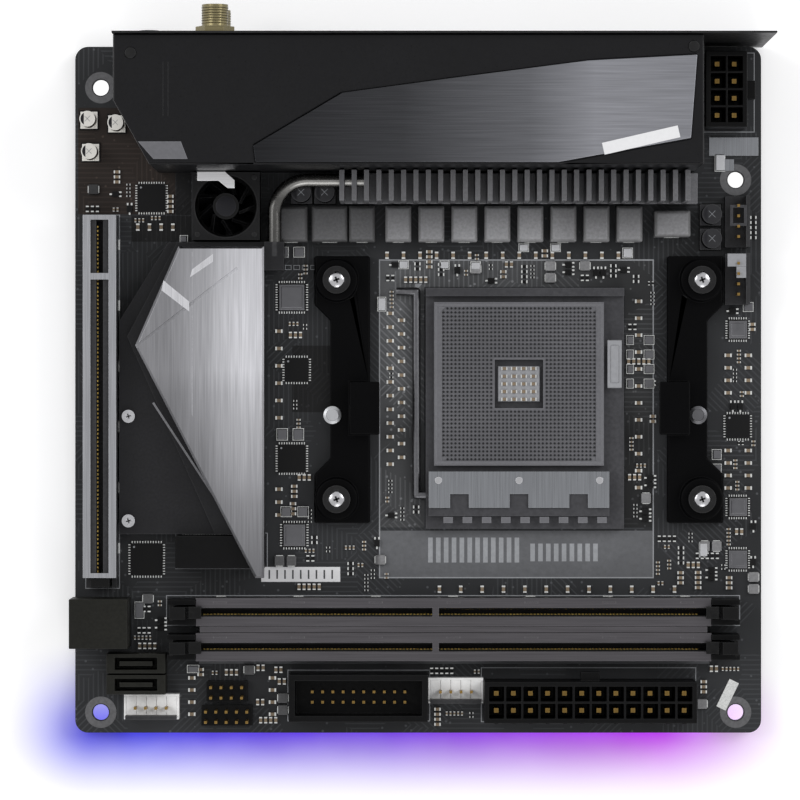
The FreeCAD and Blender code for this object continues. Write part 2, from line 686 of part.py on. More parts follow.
def make_socket():
    """Pin-grid processor socket: base, sliding cover, cam plate and lever."""
    lever_x = f"({SOCKET_LEFT} - lever_out)"
    base = block(SOCKET_LEFT, SOCKET_FRONT, TOP, "socket_wide", "socket_long", "socket_tall")
    rim = block(
        SOCKET_LEFT, f"{SOCKET_REAR} - rim_wide", BASE_TOP, "socket_wide", "rim_wide", "rim_tall"
    )
    cam_box = block(
        "socket_x - cam_wide / 2",
        f"{CAM_REAR} - cam_long",
        BASE_TOP,
        "cam_wide",
        "cam_long",
        f"{CAM_TOP} - {BASE_TOP}",
    )
    bore = rod(
        SOCKET_LEFT, AXLE_Y, AXLE_Z, "wire_radius + fit_gap", "axle_long + seat_gap", (1, 0, 0)
    )
    keep("socket_base", cut(fuse(base, rim, cam_box), bore))

    cover_y = f"({COVER_REAR} - cover_long / 2)"
    cover = middle("socket_x", cover_y, COVER_LOW, "cover_wide", "cover_long", "cover_tall")
    field = middle(
        "socket_x", cover_y, f"{CAM_TOP} - field_deep", "field_side", "field_side", "field_deep"
    )
    window = middle("socket_x", cover_y, COVER_LOW, "window_side", "window_side", "cover_tall")
    keep("socket_cover", cut(cover, field, window))

    plate_y = f"({CAM_REAR} - cam_plate_long)"
    plate = block(
        "socket_x - cam_wide / 2", plate_y, CAM_TOP, "cam_wide", "cam_plate_long", "cam_plate_thick"
    )
    notches = [
        block(
            f"socket_x + {place_x} * cam_notch_pitch - cam_notch / 2",
            plate_y,
            CAM_TOP,
            "cam_notch",
            "cam_notch_deep",
            "cam_plate_thick",
        )
        for place_x in (-1, 0, 1)
    ]
    keep("cam_plate", cut(plate, *notches))

    axle_reach = "(lever_out + axle_long)"
    axle = rod(lever_x, AXLE_Y, AXLE_Z, "wire_radius", axle_reach, (1, 0, 0))
    arm = rod(lever_x, AXLE_Y, AXLE_Z, "wire_radius", "lever_reach", (0, 1, 0))
    tab_y = f"({AXLE_Y} + lever_reach)"
    tab = rod(lever_x, tab_y, AXLE_Z, "wire_radius", "lever_tab", (-1, 0, 0))
    knuckles = []
    for y in (AXLE_Y, tab_y):
        ball = doc.addObject("Part::Sphere", "ball")
        bind(ball, "Radius", "wire_radius")
        knuckles.append(place(ball, lever_x, y, AXLE_Z))
    keep("socket_lever", fuse(axle, arm, tab, *knuckles))


def make_latch(name, side, slot_y):
    """Memory latch on its pivot; side is -1 on the left and 1 on the right."""
    pivot_x = f"(memory_x + {side} * (memory_long / 2 + seat_gap + latch_inner))"
    pivot_z = "(board_thick + pivot_up)"
    inner = f"({pivot_x} - {side} * latch_inner)"
    outer = f"({pivot_x} + {side} * latch_deep)"
    profile = [
        (f"{pivot_x} + {side} * 0.5 * latch_inner", f"{pivot_z} - 0.7 * pivot_up"),
        (f"{pivot_x} + {side} * 0.6 * latch_deep", f"{pivot_z} - 0.4 * pivot_up"),
        (f"{outer} - {side} * 0.2 * latch_deep", f"{pivot_z} + 0.4 * latch_tall"),
        (outer, f"{pivot_z} + latch_tall"),
        (f"{pivot_x} + {side} * 0.1 * latch_deep", f"{pivot_z} + latch_tall"),
        (f"{pivot_x} - {side} * 0.1 * latch_deep", f"{pivot_z} + 0.8 * latch_tall"),
        (f"{pivot_x} - {side} * latch_nose", f"{pivot_z} + 0.7 * latch_tall"),
        (f"{pivot_x} - {side} * latch_nose", f"{pivot_z} + 0.6 * latch_tall"),
        (inner, f"{pivot_z} + 0.5 * latch_tall"),
        (inner, f"{pivot_z} - 0.1 * pivot_up"),
        (f"{pivot_x} - {side} * 0.4 * latch_inner", f"{pivot_z} - 0.6 * pivot_up"),
    ]
    body = new_body()
    outline = sketch_on(body, "XZ_Plane", f"-({slot_y})")
    draw_outline(outline, profile)
    pad(body, outline, "latch_thick", both_ways=True)
    pin = rod(
        pivot_x,
        f"({slot_y}) - latch_thick / 2 - pivot_reach",
        pivot_z,
        "pivot_radius",
        "latch_thick + 2 * pivot_reach",
        (0, 1, 0),
    )
    keep(name, fuse(body, pin))


def make_memory_slot(name, slot_y):
    """One memory slot with its armour and its two latches."""
    left = "(memory_x - memory_long / 2)"
    half_wide = "(memory_wide / 2)"
    body = block(left, f"({slot_y}) - {half_wide}", TOP, "memory_long", "memory_wide", "memory_tall")
    groove_z = f"({TOP} + memory_tall - groove_deep)"
    tools = [
        block(
            f"{left} + groove_margin",
            f"({slot_y}) - groove_wide / 2",
            groove_z,
            f"key_x - key_wide / 2 - {left} - groove_margin",
            "groove_wide",
            "groove_deep",
        ),
        block(
            "key_x + key_wide / 2",
            f"({slot_y}) - groove_wide / 2",
            groove_z,
            f"{left} + memory_long - groove_margin - key_x - key_wide / 2",
            "groove_wide",
            "groove_deep",
        ),
    ]
    towers = []
    cavity = "(latch_thick + 2 * seat_gap)"
    for side in (-1, 1):
        end = f"(memory_x + {side} * memory_long / 2)"
        centre = f"({end} + {side} * tower_long / 2)"
        towers.append(middle(centre, f"({slot_y})", TOP, "tower_long", "memory_wide", "tower_tall"))
        tools.append(middle(centre, f"({slot_y})", TOP, "tower_long", cavity, "tower_tall"))
        tools.append(
            rod(
                f"{end} + {side} * (seat_gap + latch_inner)",
                f"({slot_y}) - {half_wide}",
                f"{TOP} + pivot_up",
                "pivot_radius + fit_gap",
                "memory_wide",
                (0, 1, 0),
            )
        )
        make_latch(f"{name}_latch_{'left' if side < 0 else 'right'}", side, slot_y)
    keep(f"{name}_slot", cut(fuse(body, *towers), *tools))

    outer = "(memory_wide / 2 + armor_air + armor_thick)"
    shell = block(
        left,
        f"({slot_y}) - {outer}",
        f"{TOP} + memory_tall + armor_air + armor_thick - armor_tall",
        "memory_long",
        f"2 * {outer}",
        "armor_tall",
    )
    hollow = block(
        left,
        f"({slot_y}) - memory_wide / 2 - armor_air",
        f"{TOP} + memory_tall + armor_air - armor_tall",
        "memory_long",
        "memory_wide + 2 * armor_air",
        "armor_tall",
    )
    mouth_z = f"({TOP} + memory_tall + armor_air)"
    mouths = [
        block(
            f"{left} + groove_margin",
            f"({slot_y}) - groove_wide / 2 - armor_thick",
            mouth_z,
            f"key_x - key_wide / 2 - {left} - groove_margin",
            "groove_wide + 2 * armor_thick",
            "armor_thick",
        ),
        block(
            "key_x + key_wide / 2",
            f"({slot_y}) - groove_wide / 2 - armor_thick",
            mouth_z,
            f"{left} + memory_long - groove_margin - key_x - key_wide / 2",
            "groove_wide + 2 * armor_thick",
            "armor_thick",
        ),
    ]
    keep(f"{name}_armor", cut(shell, hollow, *mouths))


def make_memory():
    """Both memory slots."""
    make_memory_slot("memory_rear", "memory_y")
    make_memory_slot("memory_front", "memory_y - memory_pitch")


def make_expansion_slot():
    """Expansion slot with its armour and its card latch."""
    rear = "(slot_front + slot_long)"
    body = middle(
        "slot_x", "slot_front + slot_long / 2", TOP, "slot_wide", "slot_long", "slot_tall"
    )
    pivot_y = "(slot_front - seat_gap - slot_latch_thick / 2)"
    pivot_z = "(board_thick + slot_pivot_up)"
    ear_tall = "(slot_pivot_up + slot_latch_thick)"
    ears = [
        middle(
            f"slot_x + {side} * (slot_latch_wide / 2 + seat_gap + slot_ear / 2)",
            "(slot_front - slot_latch_thick / 2 - seat_gap)",
            TOP,
            "slot_ear",
            "slot_latch_thick + 2 * seat_gap",
            ear_tall,
        )
        for side in (-1, 1)
    ]
    groove_z = f"({TOP} + slot_tall - slot_groove_deep)"
    key_y = f"({rear} - slot_key)"
    tools = [
        block(
            "slot_x - slot_groove_wide / 2",
            f"{key_y} + key_wide / 2",
            groove_z,
            "slot_groove_wide",
            f"{rear} - groove_margin - {key_y} - key_wide / 2",
            "slot_groove_deep",
        ),
        block(
            "slot_x - slot_groove_wide / 2",
            "slot_front + groove_margin",
            groove_z,
            "slot_groove_wide",
            f"{key_y} - key_wide / 2 - slot_front - groove_margin",
            "slot_groove_deep",
        ),
        rod(
            "slot_x - slot_wide",
            pivot_y,
            pivot_z,
            "pivot_radius + fit_gap",
            "2 * slot_wide",
            (1, 0, 0),
        ),
    ]
    keep("expansion_slot", cut(fuse(body, *ears), *tools))

    outer = "(slot_wide / 2 + armor_air + slot_armor_thick)"
    low = f"({TOP} + armor_thick)"
    top = f"({TOP} + slot_tall + armor_air + slot_armor_thick)"
    shell = block(f"slot_x - {outer}", "slot_front", low, f"2 * {outer}", "slot_long", f"{top} - {low}")
    hollow = block(
        "slot_x - slot_wide / 2 - armor_air",
        "slot_front",
        low,
        "slot_wide + 2 * armor_air",
        "slot_long",
        f"{top} - {low} - slot_armor_thick",
    )
    mouths = [
        block(
            "slot_x - slot_mouth_wide / 2",
            f"{key_y} + key_wide / 2",
            f"{top} - slot_armor_thick",
            "slot_mouth_wide",
            f"{rear} - groove_margin - {key_y} - key_wide / 2",
            "slot_armor_thick",
        ),
        block(
            "slot_x - slot_mouth_wide / 2",
            "slot_front + groove_margin",
            f"{top} - slot_armor_thick",
            "slot_mouth_wide",
            f"{key_y} - key_wide / 2 - slot_front - groove_margin",
            "slot_armor_thick",
        ),
    ]
    keep("expansion_armor", cut(shell, hollow, *mouths))

    lever = middle(
        "slot_x", pivot_y, pivot_z, "slot_latch_wide", "slot_latch_thick", "slot_latch_tall"
    )
    knuckle = rod(
        "slot_x - slot_latch_wide / 2",
        pivot_y,
        pivot_z,
        "slot_latch_thick / 2",
        "slot_latch_wide",
        (1, 0, 0),
    )
    pin = rod(
        "slot_x - slot_latch_wide / 2 - slot_ear",
        pivot_y,
        pivot_z,
        "pivot_radius",
        "slot_latch_wide + 2 * slot_ear",
        (1, 0, 0),
    )
    keep("expansion_latch", fuse(lever, knuckle, pin))


SINK_LOW = "(board_thick + sink_under)"
SINK_MID = "(board_thick + sink_under + sink_low)"
SINK_TOP = "(board_thick + sink_under + sink_low + sink_high)"
STORAGE_LOW = "(board_thick + sink_under + sink_low + sink_high + drive_gap)"
STORAGE_TOP = f"({STORAGE_LOW} + storage_thick)"


def make_storage_heatsink():
    """Chipset heatsink, the storage plate above it, thermal pads, screws and connector."""
    body = new_body()
    low = sketch_on(body, "XY_Plane", SINK_LOW)
    outline = [
        ("sink_left", "sink_front"),
        ("sink_right", "sink_front"),
        ("sink_right", "sink_rear"),
        ("sink_slant_x", "sink_rear"),
        ("sink_left", "sink_slant_y"),
    ]
    draw_outline(low, outline)
    pad(body, low, "sink_low")
    high = sketch_on(body, "XY_Plane", SINK_MID)
    run = "((storage_side_y - storage_front) / (sink_right - storage_tip - storage_side_x))"
    edge_x = "(storage_side_x - sink_step)"
    upper = [
        (f"(storage_side_y - sink_front) / {run} + {edge_x}", "sink_front"),
        ("sink_right", "sink_front"),
        ("sink_right", "sink_rear"),
        ("sink_slant_x + sink_step / 2", "sink_rear"),
        (f"{edge_x} + sink_step / 2", "storage_side_y + sink_step / 2"),
    ]
    draw_outline(high, upper)
    pad(body, high, "sink_high")
    legs = [
        rod(x, y, TOP, "sink_leg", "sink_under")
        for x, y in (
            ("sink_right - 2 * sink_leg", "sink_front + 2 * sink_leg"),
            ("sink_right - 2 * sink_leg", "sink_rear - 2 * sink_leg"),
            ("peg_x", "peg_rear_y"),
            ("peg_x", "peg_front_y"),
        )
    ]
    posts = [
        rod(x, y, SINK_TOP, "sink_leg", "drive_gap")
        for x, y in (
            ("sink_right - 2 * sink_leg", "storage_rear - 2 * sink_leg"),
            ("storage_top_x + 2 * sink_leg", "storage_rear - 2 * sink_leg"),
            ("sink_right - 2 * sink_leg", "sink_front + 3 * sink_leg"),
        )
    ]
    ear = block(
        "sink_right",
        "sink_rear - ear_long",
        SINK_LOW,
        "pipe_x + pipe_radius + storage_edge - sink_right",
        "ear_long",
        "pipe_up + pipe_radius - sink_under",
    )
    pipe_seat = rod(
        "pipe_x",
        "sink_rear - ear_long / 2",
        "board_thick + pipe_up",
        "pipe_radius",
        "ear_long",
        (0, 1, 0),
    )
    keep("chipset_heatsink", cut(fuse(body, *legs, *posts, ear), pipe_seat))

    plate = new_body()
    outline = sketch_on(plate, "XY_Plane", STORAGE_LOW)
    corners = [
        ("sink_right - storage_tip", "storage_front"),
        ("sink_right", "storage_front"),
        ("sink_right", "storage_rear"),
        ("storage_top_x", "storage_rear"),
        ("storage_side_x", "storage_side_y"),
    ]
    draw_outline(outline, corners)
    pad(plate, outline, "storage_thick")
    top = size("board_thick") + size("sink_under") + size("sink_low") + size("sink_high")
    top += size("drive_gap") + size("storage_thick")
    trim_edges(
        plate, "Chamfer", lambda edge: abs(edge.BoundBox.ZMin - top) < 1e-6, "storage_edge"
    )
    facet = sketch_on(plate, "XY_Plane", STORAGE_TOP)
    start = ("storage_side_x", "storage_side_y")
    finish = ("sink_right - 3 * storage_tip", "storage_rear - 10 * storage_groove")
    draw_outline(
        facet,
        [
            start,
            (f"{start[0]} + storage_groove", f"{start[1]} - storage_groove"),
            (f"{finish[0]} + storage_groove", f"{finish[1]} - storage_groove"),
            finish,
        ],
    )
    pocket(plate, facet, "storage_groove")
    keep("storage_plate", plate)

    inset = "sheet_margin"
    sheet_body = new_body()
    outline = sketch_on(sheet_body, "XY_Plane", f"{STORAGE_LOW} - sheet_thick")
    draw_outline(
        outline,
        [
            (f"sink_right - {inset}", "sink_front"),
            (f"sink_right - {inset}", f"storage_rear - {inset} - 4 * sink_leg"),
            (f"storage_top_x + {inset}", f"storage_rear - {inset} - 4 * sink_leg"),
            (f"storage_side_x + 2 * {inset}", f"storage_side_y - {inset}"),
        ],
    )
    pad(sheet_body, outline, "sheet_thick")
    clear = rod(
        "sink_right - 2 * sink_leg",
        "sink_front + 3 * sink_leg",
        SINK_TOP,
        "sink_leg + seat_gap",
        "drive_gap",
    )
    storage_pad = cut(sheet_body, clear)
    chip_pad = middle(
        "chip_x",
        "chip_y",
        f"{TOP} + chip_tall",
        "chip_side - 2 * sheet_margin",
        "chip_side - 2 * sheet_margin",
        "sink_under - chip_tall",
    )
    fet_pad = block(
        "vrm_left + fin_pitch",
        "vrm_rear - vrm_deep / 2 - fet_side / 2",
        f"{TOP} + fet_tall",
        "vrm_right - vrm_left - 2 * fin_pitch",
        "fet_side",
        "sheet_thick",
    )
    keep("thermal_pads", group([storage_pad, chip_pad, fet_pad]))

    screws = []
    for y in ("peg_rear_y", "peg_front_y"):
        head = rod("peg_x", y, SINK_MID, "peg_radius", "peg_head")
        slot = middle(
            "peg_x",
            y,
            f"{SINK_MID} + peg_head / 2",
            "peg_radius * 1.3",
            "cross_wide / 2",
            "peg_head",
        )
        cross = middle(
            "peg_x",
            y,
            f"{SINK_MID} + peg_head / 2",
            "cross_wide / 2",
            "peg_radius * 1.3",
            "peg_head",
        )
        screws.append(cut(head, slot, cross))
    keep("heatsink_screws", group(screws))

    connector_y = "(sink_front - seat_gap - socket_drive_long / 2)"
    connector_x = "(sink_right - socket_drive_wide / 2)"
    tall = f"({STORAGE_LOW} - seat_gap - {TOP})"
    shell = middle(connector_x, connector_y, TOP, "socket_drive_wide", "socket_drive_long", tall)
    mouth = block(
        "sink_right - socket_drive_wide + groove_margin",
        f"{connector_y} + tongue_thick",
        f"{SINK_TOP} + sheet_thick",
        "socket_drive_wide - 2 * groove_margin",
        "socket_drive_long / 2",
        "groove_margin",
    )
    keep("drive_connector", cut(shell, mouth))


def make_chipset_fan():
    """Small chipset fan: frame with its pin, and the rotor that turns on it."""
    floor_top = "(board_thick + fan_floor)"
    frame = middle("fan_x", "fan_y", TOP, "fan_side", "fan_side", "fan_tall")
    bore = rod("fan_x", "fan_y", floor_top, "fan_bore", "fan_tall")
    pin = rod("fan_x", "fan_y", TOP, "fan_pin", "fan_floor + fan_tall / 2")
    keep("chipset_fan_frame", fuse(cut(frame, bore), pin))

    blade_count = 9
    low = size("board_thick") + size("fan_floor") + 2 * size("seat_gap")
    tall = size("fan_tall") - size("fan_floor") - 4 * size("seat_gap")
    hub_radius = size("fan_hub")
    tip = size("fan_tip")
    hub = Part.makeCylinder(hub_radius, tall)
    blades = []
    for i in range(blade_count):
        blade = Part.makeBox(
            tip - 0.8 * hub_radius,
            size("blade_thick"),
            0.7 * tall,
            FreeCAD.Vector(0.8 * hub_radius, -size("blade_thick") / 2, 0.15 * tall),
        )
        blade.rotate(FreeCAD.Vector(hub_radius, 0, tall / 2), FreeCAD.Vector(1, 0, 0), 35)
        blade.rotate(FreeCAD.Vector(hub_radius, 0, 0), FreeCAD.Vector(0, 0, 1), 22)
        blade.rotate(FreeCAD.Vector(), FreeCAD.Vector(0, 0, 1), 360 * i / blade_count)
        blades.append(blade)
    rim = Part.makeCylinder(tip, tall)
    rotor = hub.fuse(blades).common(rim)
    bore = Part.makeCylinder(size("fan_pin") + size("fan_pin_gap"), 0.7 * tall)
    item = doc.addObject("Part::Feature", "rotor")
    item.Shape = rotor.cut(bore).removeSplitter()
    item.Placement = FreeCAD.Placement(
        FreeCAD.Vector(size("fan_x"), size("fan_y"), low), FreeCAD.Rotation()
    )
    keep("chipset_fan_rotor", item)


def make_regulator():
    """Power transistors, the finned heatsink, its heat pipe and the chokes."""
    length = "(vrm_right - vrm_left)"
    fets = []
    for i in range(10):
        x = f"(vrm_left + fet_side + {i} * fet_pitch)"
        fets.append(middle(x, "vrm_rear - vrm_deep / 2", TOP, "fet_side", "fet_side", "fet_tall"))
    keep("power_transistors", group(fets))

    base_z = "(board_thick + fet_tall + sheet_thick)"
    base = block("vrm_left", "vrm_rear - vrm_deep", base_z, length, "vrm_deep", "vrm_base")
    fin_tall = f"(board_thick + vrm_tall - {base_z})"
    fin_count = int((size("vrm_right") - size("vrm_left")) / size("fin_pitch"))
    fins = [
        block(
            f"vrm_left + {i} * fin_pitch",
            "vrm_rear - vrm_deep",
            base_z,
            "fin_thick",
            "vrm_deep",
            fin_tall,
        )
        for i in range(fin_count)
    ]
    pipe_y = "(vrm_rear - pipe_setback)"
    pipe_z = "(board_thick + pipe_up)"
    seat = rod("vrm_left", pipe_y, pipe_z, "pipe_radius", "pipe_in", (1, 0, 0))
    keep("regulator_heatsink", cut(fuse(base, *fins), seat))

    radius = size("pipe_bend")
    start = FreeCAD.Vector(
        size("vrm_left") + size("pipe_in"),
        size("vrm_rear") - size("pipe_setback"),
        size("board_thick") + size("pipe_up"),
    )
    corner = FreeCAD.Vector(size("pipe_x"), start.y, start.z)
    finish = FreeCAD.Vector(size("pipe_x"), size("sink_rear") - size("ear_long") / 2, start.z)
    bend_start = corner + FreeCAD.Vector(radius, 0, 0)
    bend_end = corner + FreeCAD.Vector(0, -radius, 0)
    slope = radius * (1 - math.sqrt(0.5))
    bend_middle = corner + FreeCAD.Vector(slope, -slope, 0)
    path = Part.Wire(
        [
            Part.LineSegment(start, bend_start).toShape(),
            Part.Arc(bend_start, bend_middle, bend_end).toShape(),
            Part.LineSegment(bend_end, finish).toShape(),
        ]
    )
    section = Part.Wire(
        [Part.makeCircle(size("pipe_radius"), start, FreeCAD.Vector(-1, 0, 0))]
    )
    pipe = doc.addObject("Part::Feature", "pipe")
    pipe.Shape = path.makePipeShell([section], True, True)
    keep("heat_pipe", pipe)

    chokes = []
    for i in range(8):
        x = f"(choke_x + {i} * choke_pitch)"
        chokes.append(
            middle(x, "choke_y", TOP, "choke_wide", "choke_deep", "choke_tall")
        )
    for x in (
        "(choke_x - choke_pitch - choke_deep)",
        "(choke_x - choke_pitch - 2 * choke_deep - 2 * choke_edge)",
    ):
        chokes.append(middle(x, "choke_y", TOP, "choke_deep", "choke_deep", "choke_tall"))
    x = "(choke_x - 1.1 * choke_pitch)"
    chokes.append(middle(x, "choke_y", TOP, "choke_wide", "choke_deep", "choke_tall"))
    x = "(choke_x + 8.3 * choke_pitch)"
    chokes.append(middle(x, "choke_y", TOP, "choke_deep", "choke_wide", "choke_tall"))
    shaped = []
    for choke in chokes:
        doc.recompute()
        top = choke.Shape.BoundBox.ZMax
        edges = [
            (i, size("choke_edge"), size("choke_edge"))
            for i, edge in enumerate(choke.Shape.Edges, start=1)
            if edge.BoundBox.ZMin > top - 1e-6
        ]
        bevel = doc.addObject("Part::Chamfer", "bevel")
        bevel.Base = choke
        bevel.Edges = edges
        shaped.append(bevel)
    keep("chokes", group(shaped))


def rear_port(x, z, wide, tall, deep):
    """Make the can of a rear connector; it ends just outside the shield."""
    front = f"({SHIELD_OUT} + port_proud - {deep})"
    return block(f"{x} - ({wide}) / 2", front, z, wide, deep, tall)


def port_mouth(x, z, wide, tall, deep):
    """Make the hollow of a socket that opens to the rear, centred on x and z."""
    back = f"({SHIELD_OUT} + port_proud - {deep})"
    return block(f"{x} - ({wide}) / 2", back, f"{z} - ({tall}) / 2", wide, deep, tall)


def port_tongue(x, z, wide, thick, deep):
    """Make the contact tongue inside a socket."""
    back = f"({SHIELD_OUT} + port_proud - {deep})"
    return block(
        f"{x} - ({wide}) / 2",
        back,
        f"{z} - ({thick}) / 2",
        wide,
        f"{deep} - 2 * can_wall",
        thick,
    )


def usb_socket(x, z):
    """Return the hollow and the tongue of one USB socket."""
    mouth = port_mouth(x, z, "usb_port_wide", "usb_port_tall", "usb_port_deep")
    tongue = port_tongue(
        x, f"({z} + can_wall)", "usb_port_wide - 3 * can_wall", "tongue_thick", "usb_port_deep"
    )
    return mouth, tongue


def make_rear_connectors():
    """Audio jacks, antenna jacks, network and USB stacks and the display ports."""
    block_front = f"({SHIELD_IN} - audio_deep)"
    audio = block(
        "audio_x - audio_wide / 2", block_front, TOP, "audio_wide", "audio_deep", "audio_tall"
    )
    collars = []
    bores = []
    for i in range(3):
        z = f"({TOP} + (audio_tall - 2 * audio_pitch) / 2 + {i} * audio_pitch)"
        collars.append(
            rod(
                "audio_x",
                SHIELD_IN,
                z,
                "audio_ring",
                "shield_thick + port_proud",
                (0, 1, 0),
            )
        )
        bores.append(
            rod(
                "audio_x",
                f"{SHIELD_OUT} + port_proud - audio_deep",
                z,
                "audio_bore",
                "audio_deep",
                (0, 1, 0),
            )
        )
    keep("audio_jacks", cut(fuse(audio, *collars), *bores))

    jacks = []
    for i in range(2):
        z = f"({TOP} + antenna_low + {i} * antenna_pitch)"
        tube = rod(
            "antenna_x",
            f"{SHIELD_IN} - radio_gap",
            z,
            "antenna_thread",
            "radio_gap + shield_thick + antenna_out",
            (0, 1, 0),
        )
        nut = doc.addObject("Part::Prism", "nut")
        nut.Polygon = 6
        turn = FreeCAD.Rotation(FreeCAD.Vector(0, 0, 1), FreeCAD.Vector(0, 1, 0))
        nut.Placement = FreeCAD.Placement(FreeCAD.Vector(), turn)
        bind(nut, "Circumradius", "antenna_hex")
        bind(nut, "Height", "antenna_nut")
        place(nut, "antenna_x", SHIELD_OUT, z)
        mouth = f"({SHIELD_OUT} + antenna_out - antenna_out * 0.7)"
        bore = rod("antenna_x", mouth, z, "antenna_bore", "antenna_out", (0, 1, 0))
        pin = rod("antenna_x", mouth, z, "antenna_pin", "antenna_out / 2", (0, 1, 0))
        jacks.append(fuse(cut(fuse(tube, nut), bore), pin))
    keep("antenna_jacks", group(jacks))

    radio_y = f"({SHIELD_IN} - radio_gap - radio_deep / 2)"
    keep(
        "wireless_module",
        middle("antenna_x", radio_y, TOP, "radio_wide", "radio_deep", "radio_tall"),
    )
    cell_y = f"({SHIELD_IN} - radio_gap - radio_deep - fit_gap - cell_thick)"
    cell = rod("antenna_x", cell_y, f"{TOP} + cell_radius", "cell_radius", "cell_thick", (0, 1, 0))
    keep("clock_battery", cell)

    can = rear_port("net_x", TOP, "net_wide", "net_tall", "net_deep")
    net_z = f"({TOP} + net_tall - can_wall - 0.7 * net_port_tall)"
    mouths = [port_mouth("net_x", net_z, "net_port_wide", "net_port_tall", "net_port_deep")]
    tongues = []
    for i in range(2):
        mouth, tongue = usb_socket("net_x", f"({TOP} + usb_pitch_up * ({i} + 0.5))")
        mouths.append(mouth)
        tongues.append(tongue)
    keep("network_stack", fuse(cut(can, *mouths), *tongues))

    stacks = []
    for i in range(2):
        x = f"(usb_first_x + {i} * usb_pitch_x)"
        can = rear_port(x, TOP, "usb_wide", "usb_tall", "usb_deep")
        mouths = []
        tongues = []
        for level in range(2):
            mouth, tongue = usb_socket(x, f"({TOP} + usb_pitch_up * ({level} + 0.5))")
            mouths.append(mouth)
            tongues.append(tongue)
        stacks.append(fuse(cut(can, *mouths), *tongues))
    keep("usb_stacks", group(stacks))

    can = rear_port("usbc_x", TOP, "usb_wide", "usb_tall", "usb_deep")
    mouth, tongue = usb_socket("usbc_x", f"({TOP} + usb_pitch_up * 0.5)")
    small_z = f"({TOP} + usb_pitch_up * 1.5)"
    small = port_mouth(
        "usbc_x", small_z, "usbc_port_wide", "usbc_port_tall", "video_port_deep"
    )
    blade = port_tongue(
        "usbc_x", small_z, "usbc_port_wide - 4 * can_wall", "usbc_tongue", "video_port_deep"
    )
    keep("usb_c_stack", fuse(cut(can, mouth, small), tongue, blade))

    for name, x, wide, tall in (
        ("display_port_left", "hdmi_x", "hdmi_wide", "hdmi_tall"),
        ("display_port_right", "dp_x", "dp_wide", "dp_tall"),
    ):
        can = rear_port(x, TOP, wide, tall, "video_deep")
        z = f"({TOP} + {tall} / 2)"
        mouth = port_mouth(
            x, z, f"{wide} - 2 * can_wall", f"{tall} - 3 * can_wall", "video_port_deep"
        )
        tongue = port_tongue(x, z, f"{wide} - 6 * can_wall", "tongue_thick / 2", "video_port_deep")
        keep(name, fuse(cut(can, mouth), tongue))


def make_shield():
    """Rear shield with a raised border and a window for every port."""
    plate = block(
        "shield_left", SHIELD_IN, "shield_low", "shield_wide", "shield_thick", "shield_tall"
    )
    tools = [
        block(
            "shield_left + shield_border",
            f"{SHIELD_OUT} - shield_lip",
            "shield_low + shield_border",
            "shield_wide - 2 * shield_border",
            "shield_lip",
            "shield_tall - 2 * shield_border",
        )
    ]
    for x, wide, tall in (
        ("net_x", "net_wide", "net_tall"),
        ("usb_first_x", "usb_wide", "usb_tall"),
        ("usb_first_x + usb_pitch_x", "usb_wide", "usb_tall"),
        ("usbc_x", "usb_wide", "usb_tall"),
        ("hdmi_x", "hdmi_wide", "hdmi_tall"),
        ("dp_x", "dp_wide", "dp_tall"),
    ):
        tools.append(
            block(
                f"{x} - ({wide}) / 2 - port_margin",
                SHIELD_IN,
                f"{TOP} - port_margin",
                f"{wide} + 2 * port_margin",
                "shield_thick",
                f"{tall} + 2 * port_margin",
            )
        )
    for i in range(3):
        z = f"({TOP} + (audio_tall - 2 * audio_pitch) / 2 + {i} * audio_pitch)"
        tools.append(
            rod("audio_x", SHIELD_IN, z, "audio_ring + port_margin", "shield_thick", (0, 1, 0))
        )
    for i in range(2):
        z = f"({TOP} + antenna_low + {i} * antenna_pitch)"
        radius = "antenna_thread + fit_gap"
        tools.append(rod("antenna_x", SHIELD_IN, z, radius, "shield_thick", (0, 1, 0)))
    keep("rear_shield", cut(plate, *tools))


def make_shroud():
    """Shell over the rear connectors and the silver insert set into its top."""
    outline_points = [
        ("shroud_left", SHIELD_IN),
        ("shroud_left", "shroud_cut_y"),
        ("shroud_cut_x", "shroud_front"),
        ("shroud_right", "shroud_front"),
        ("shroud_right", SHIELD_IN),
    ]
    inner_points = [
        ("shroud_left + shroud_wall", SHIELD_IN),
        ("shroud_left + shroud_wall", "shroud_cut_y"),
        ("shroud_cut_x + shroud_wall", "shroud_front + shroud_wall"),
        ("shroud_right - shroud_wall", "shroud_front + shroud_wall"),
        ("shroud_right - shroud_wall", SHIELD_IN),
    ]
    insert_points = [
        ("insert_left", "insert_left_y"),
        ("insert_knee_x", "insert_knee_y"),
        ("insert_mid_x", "insert_mid_y"),
        ("insert_far_x", "insert_far_y"),
        ("shroud_right - shroud_wall", "insert_rear_y"),
        ("shroud_right - insert_slant", "insert_lower_y"),
        ("insert_return_x", "shroud_front + insert_edge"),
        ("insert_left + insert_edge", "shroud_front + insert_edge"),
    ]
    body = new_body()
    outline = sketch_on(body, "XY_Plane", TOP)
    draw_outline(outline, outline_points)
    pad(body, outline, "shroud_tall")
    hollow = sketch_on(body, "XY_Plane", TOP)
    draw_outline(hollow, inner_points)
    pocket(body, hollow, "shroud_tall - shroud_wall - insert_thick", upwards=True)
    recess = sketch_on(body, "XY_Plane", f"{TOP} + shroud_tall")
    draw_outline(recess, insert_points)
    pocket(body, recess, "insert_thick / 2")
    keep("rear_shroud", body)

    insert = new_body()
    outline = sketch_on(insert, "XY_Plane", f"{TOP} + shroud_tall - insert_thick / 2")
    draw_outline(outline, insert_points)
    pad(insert, outline, "insert_thick")
    keep("shroud_insert", insert)


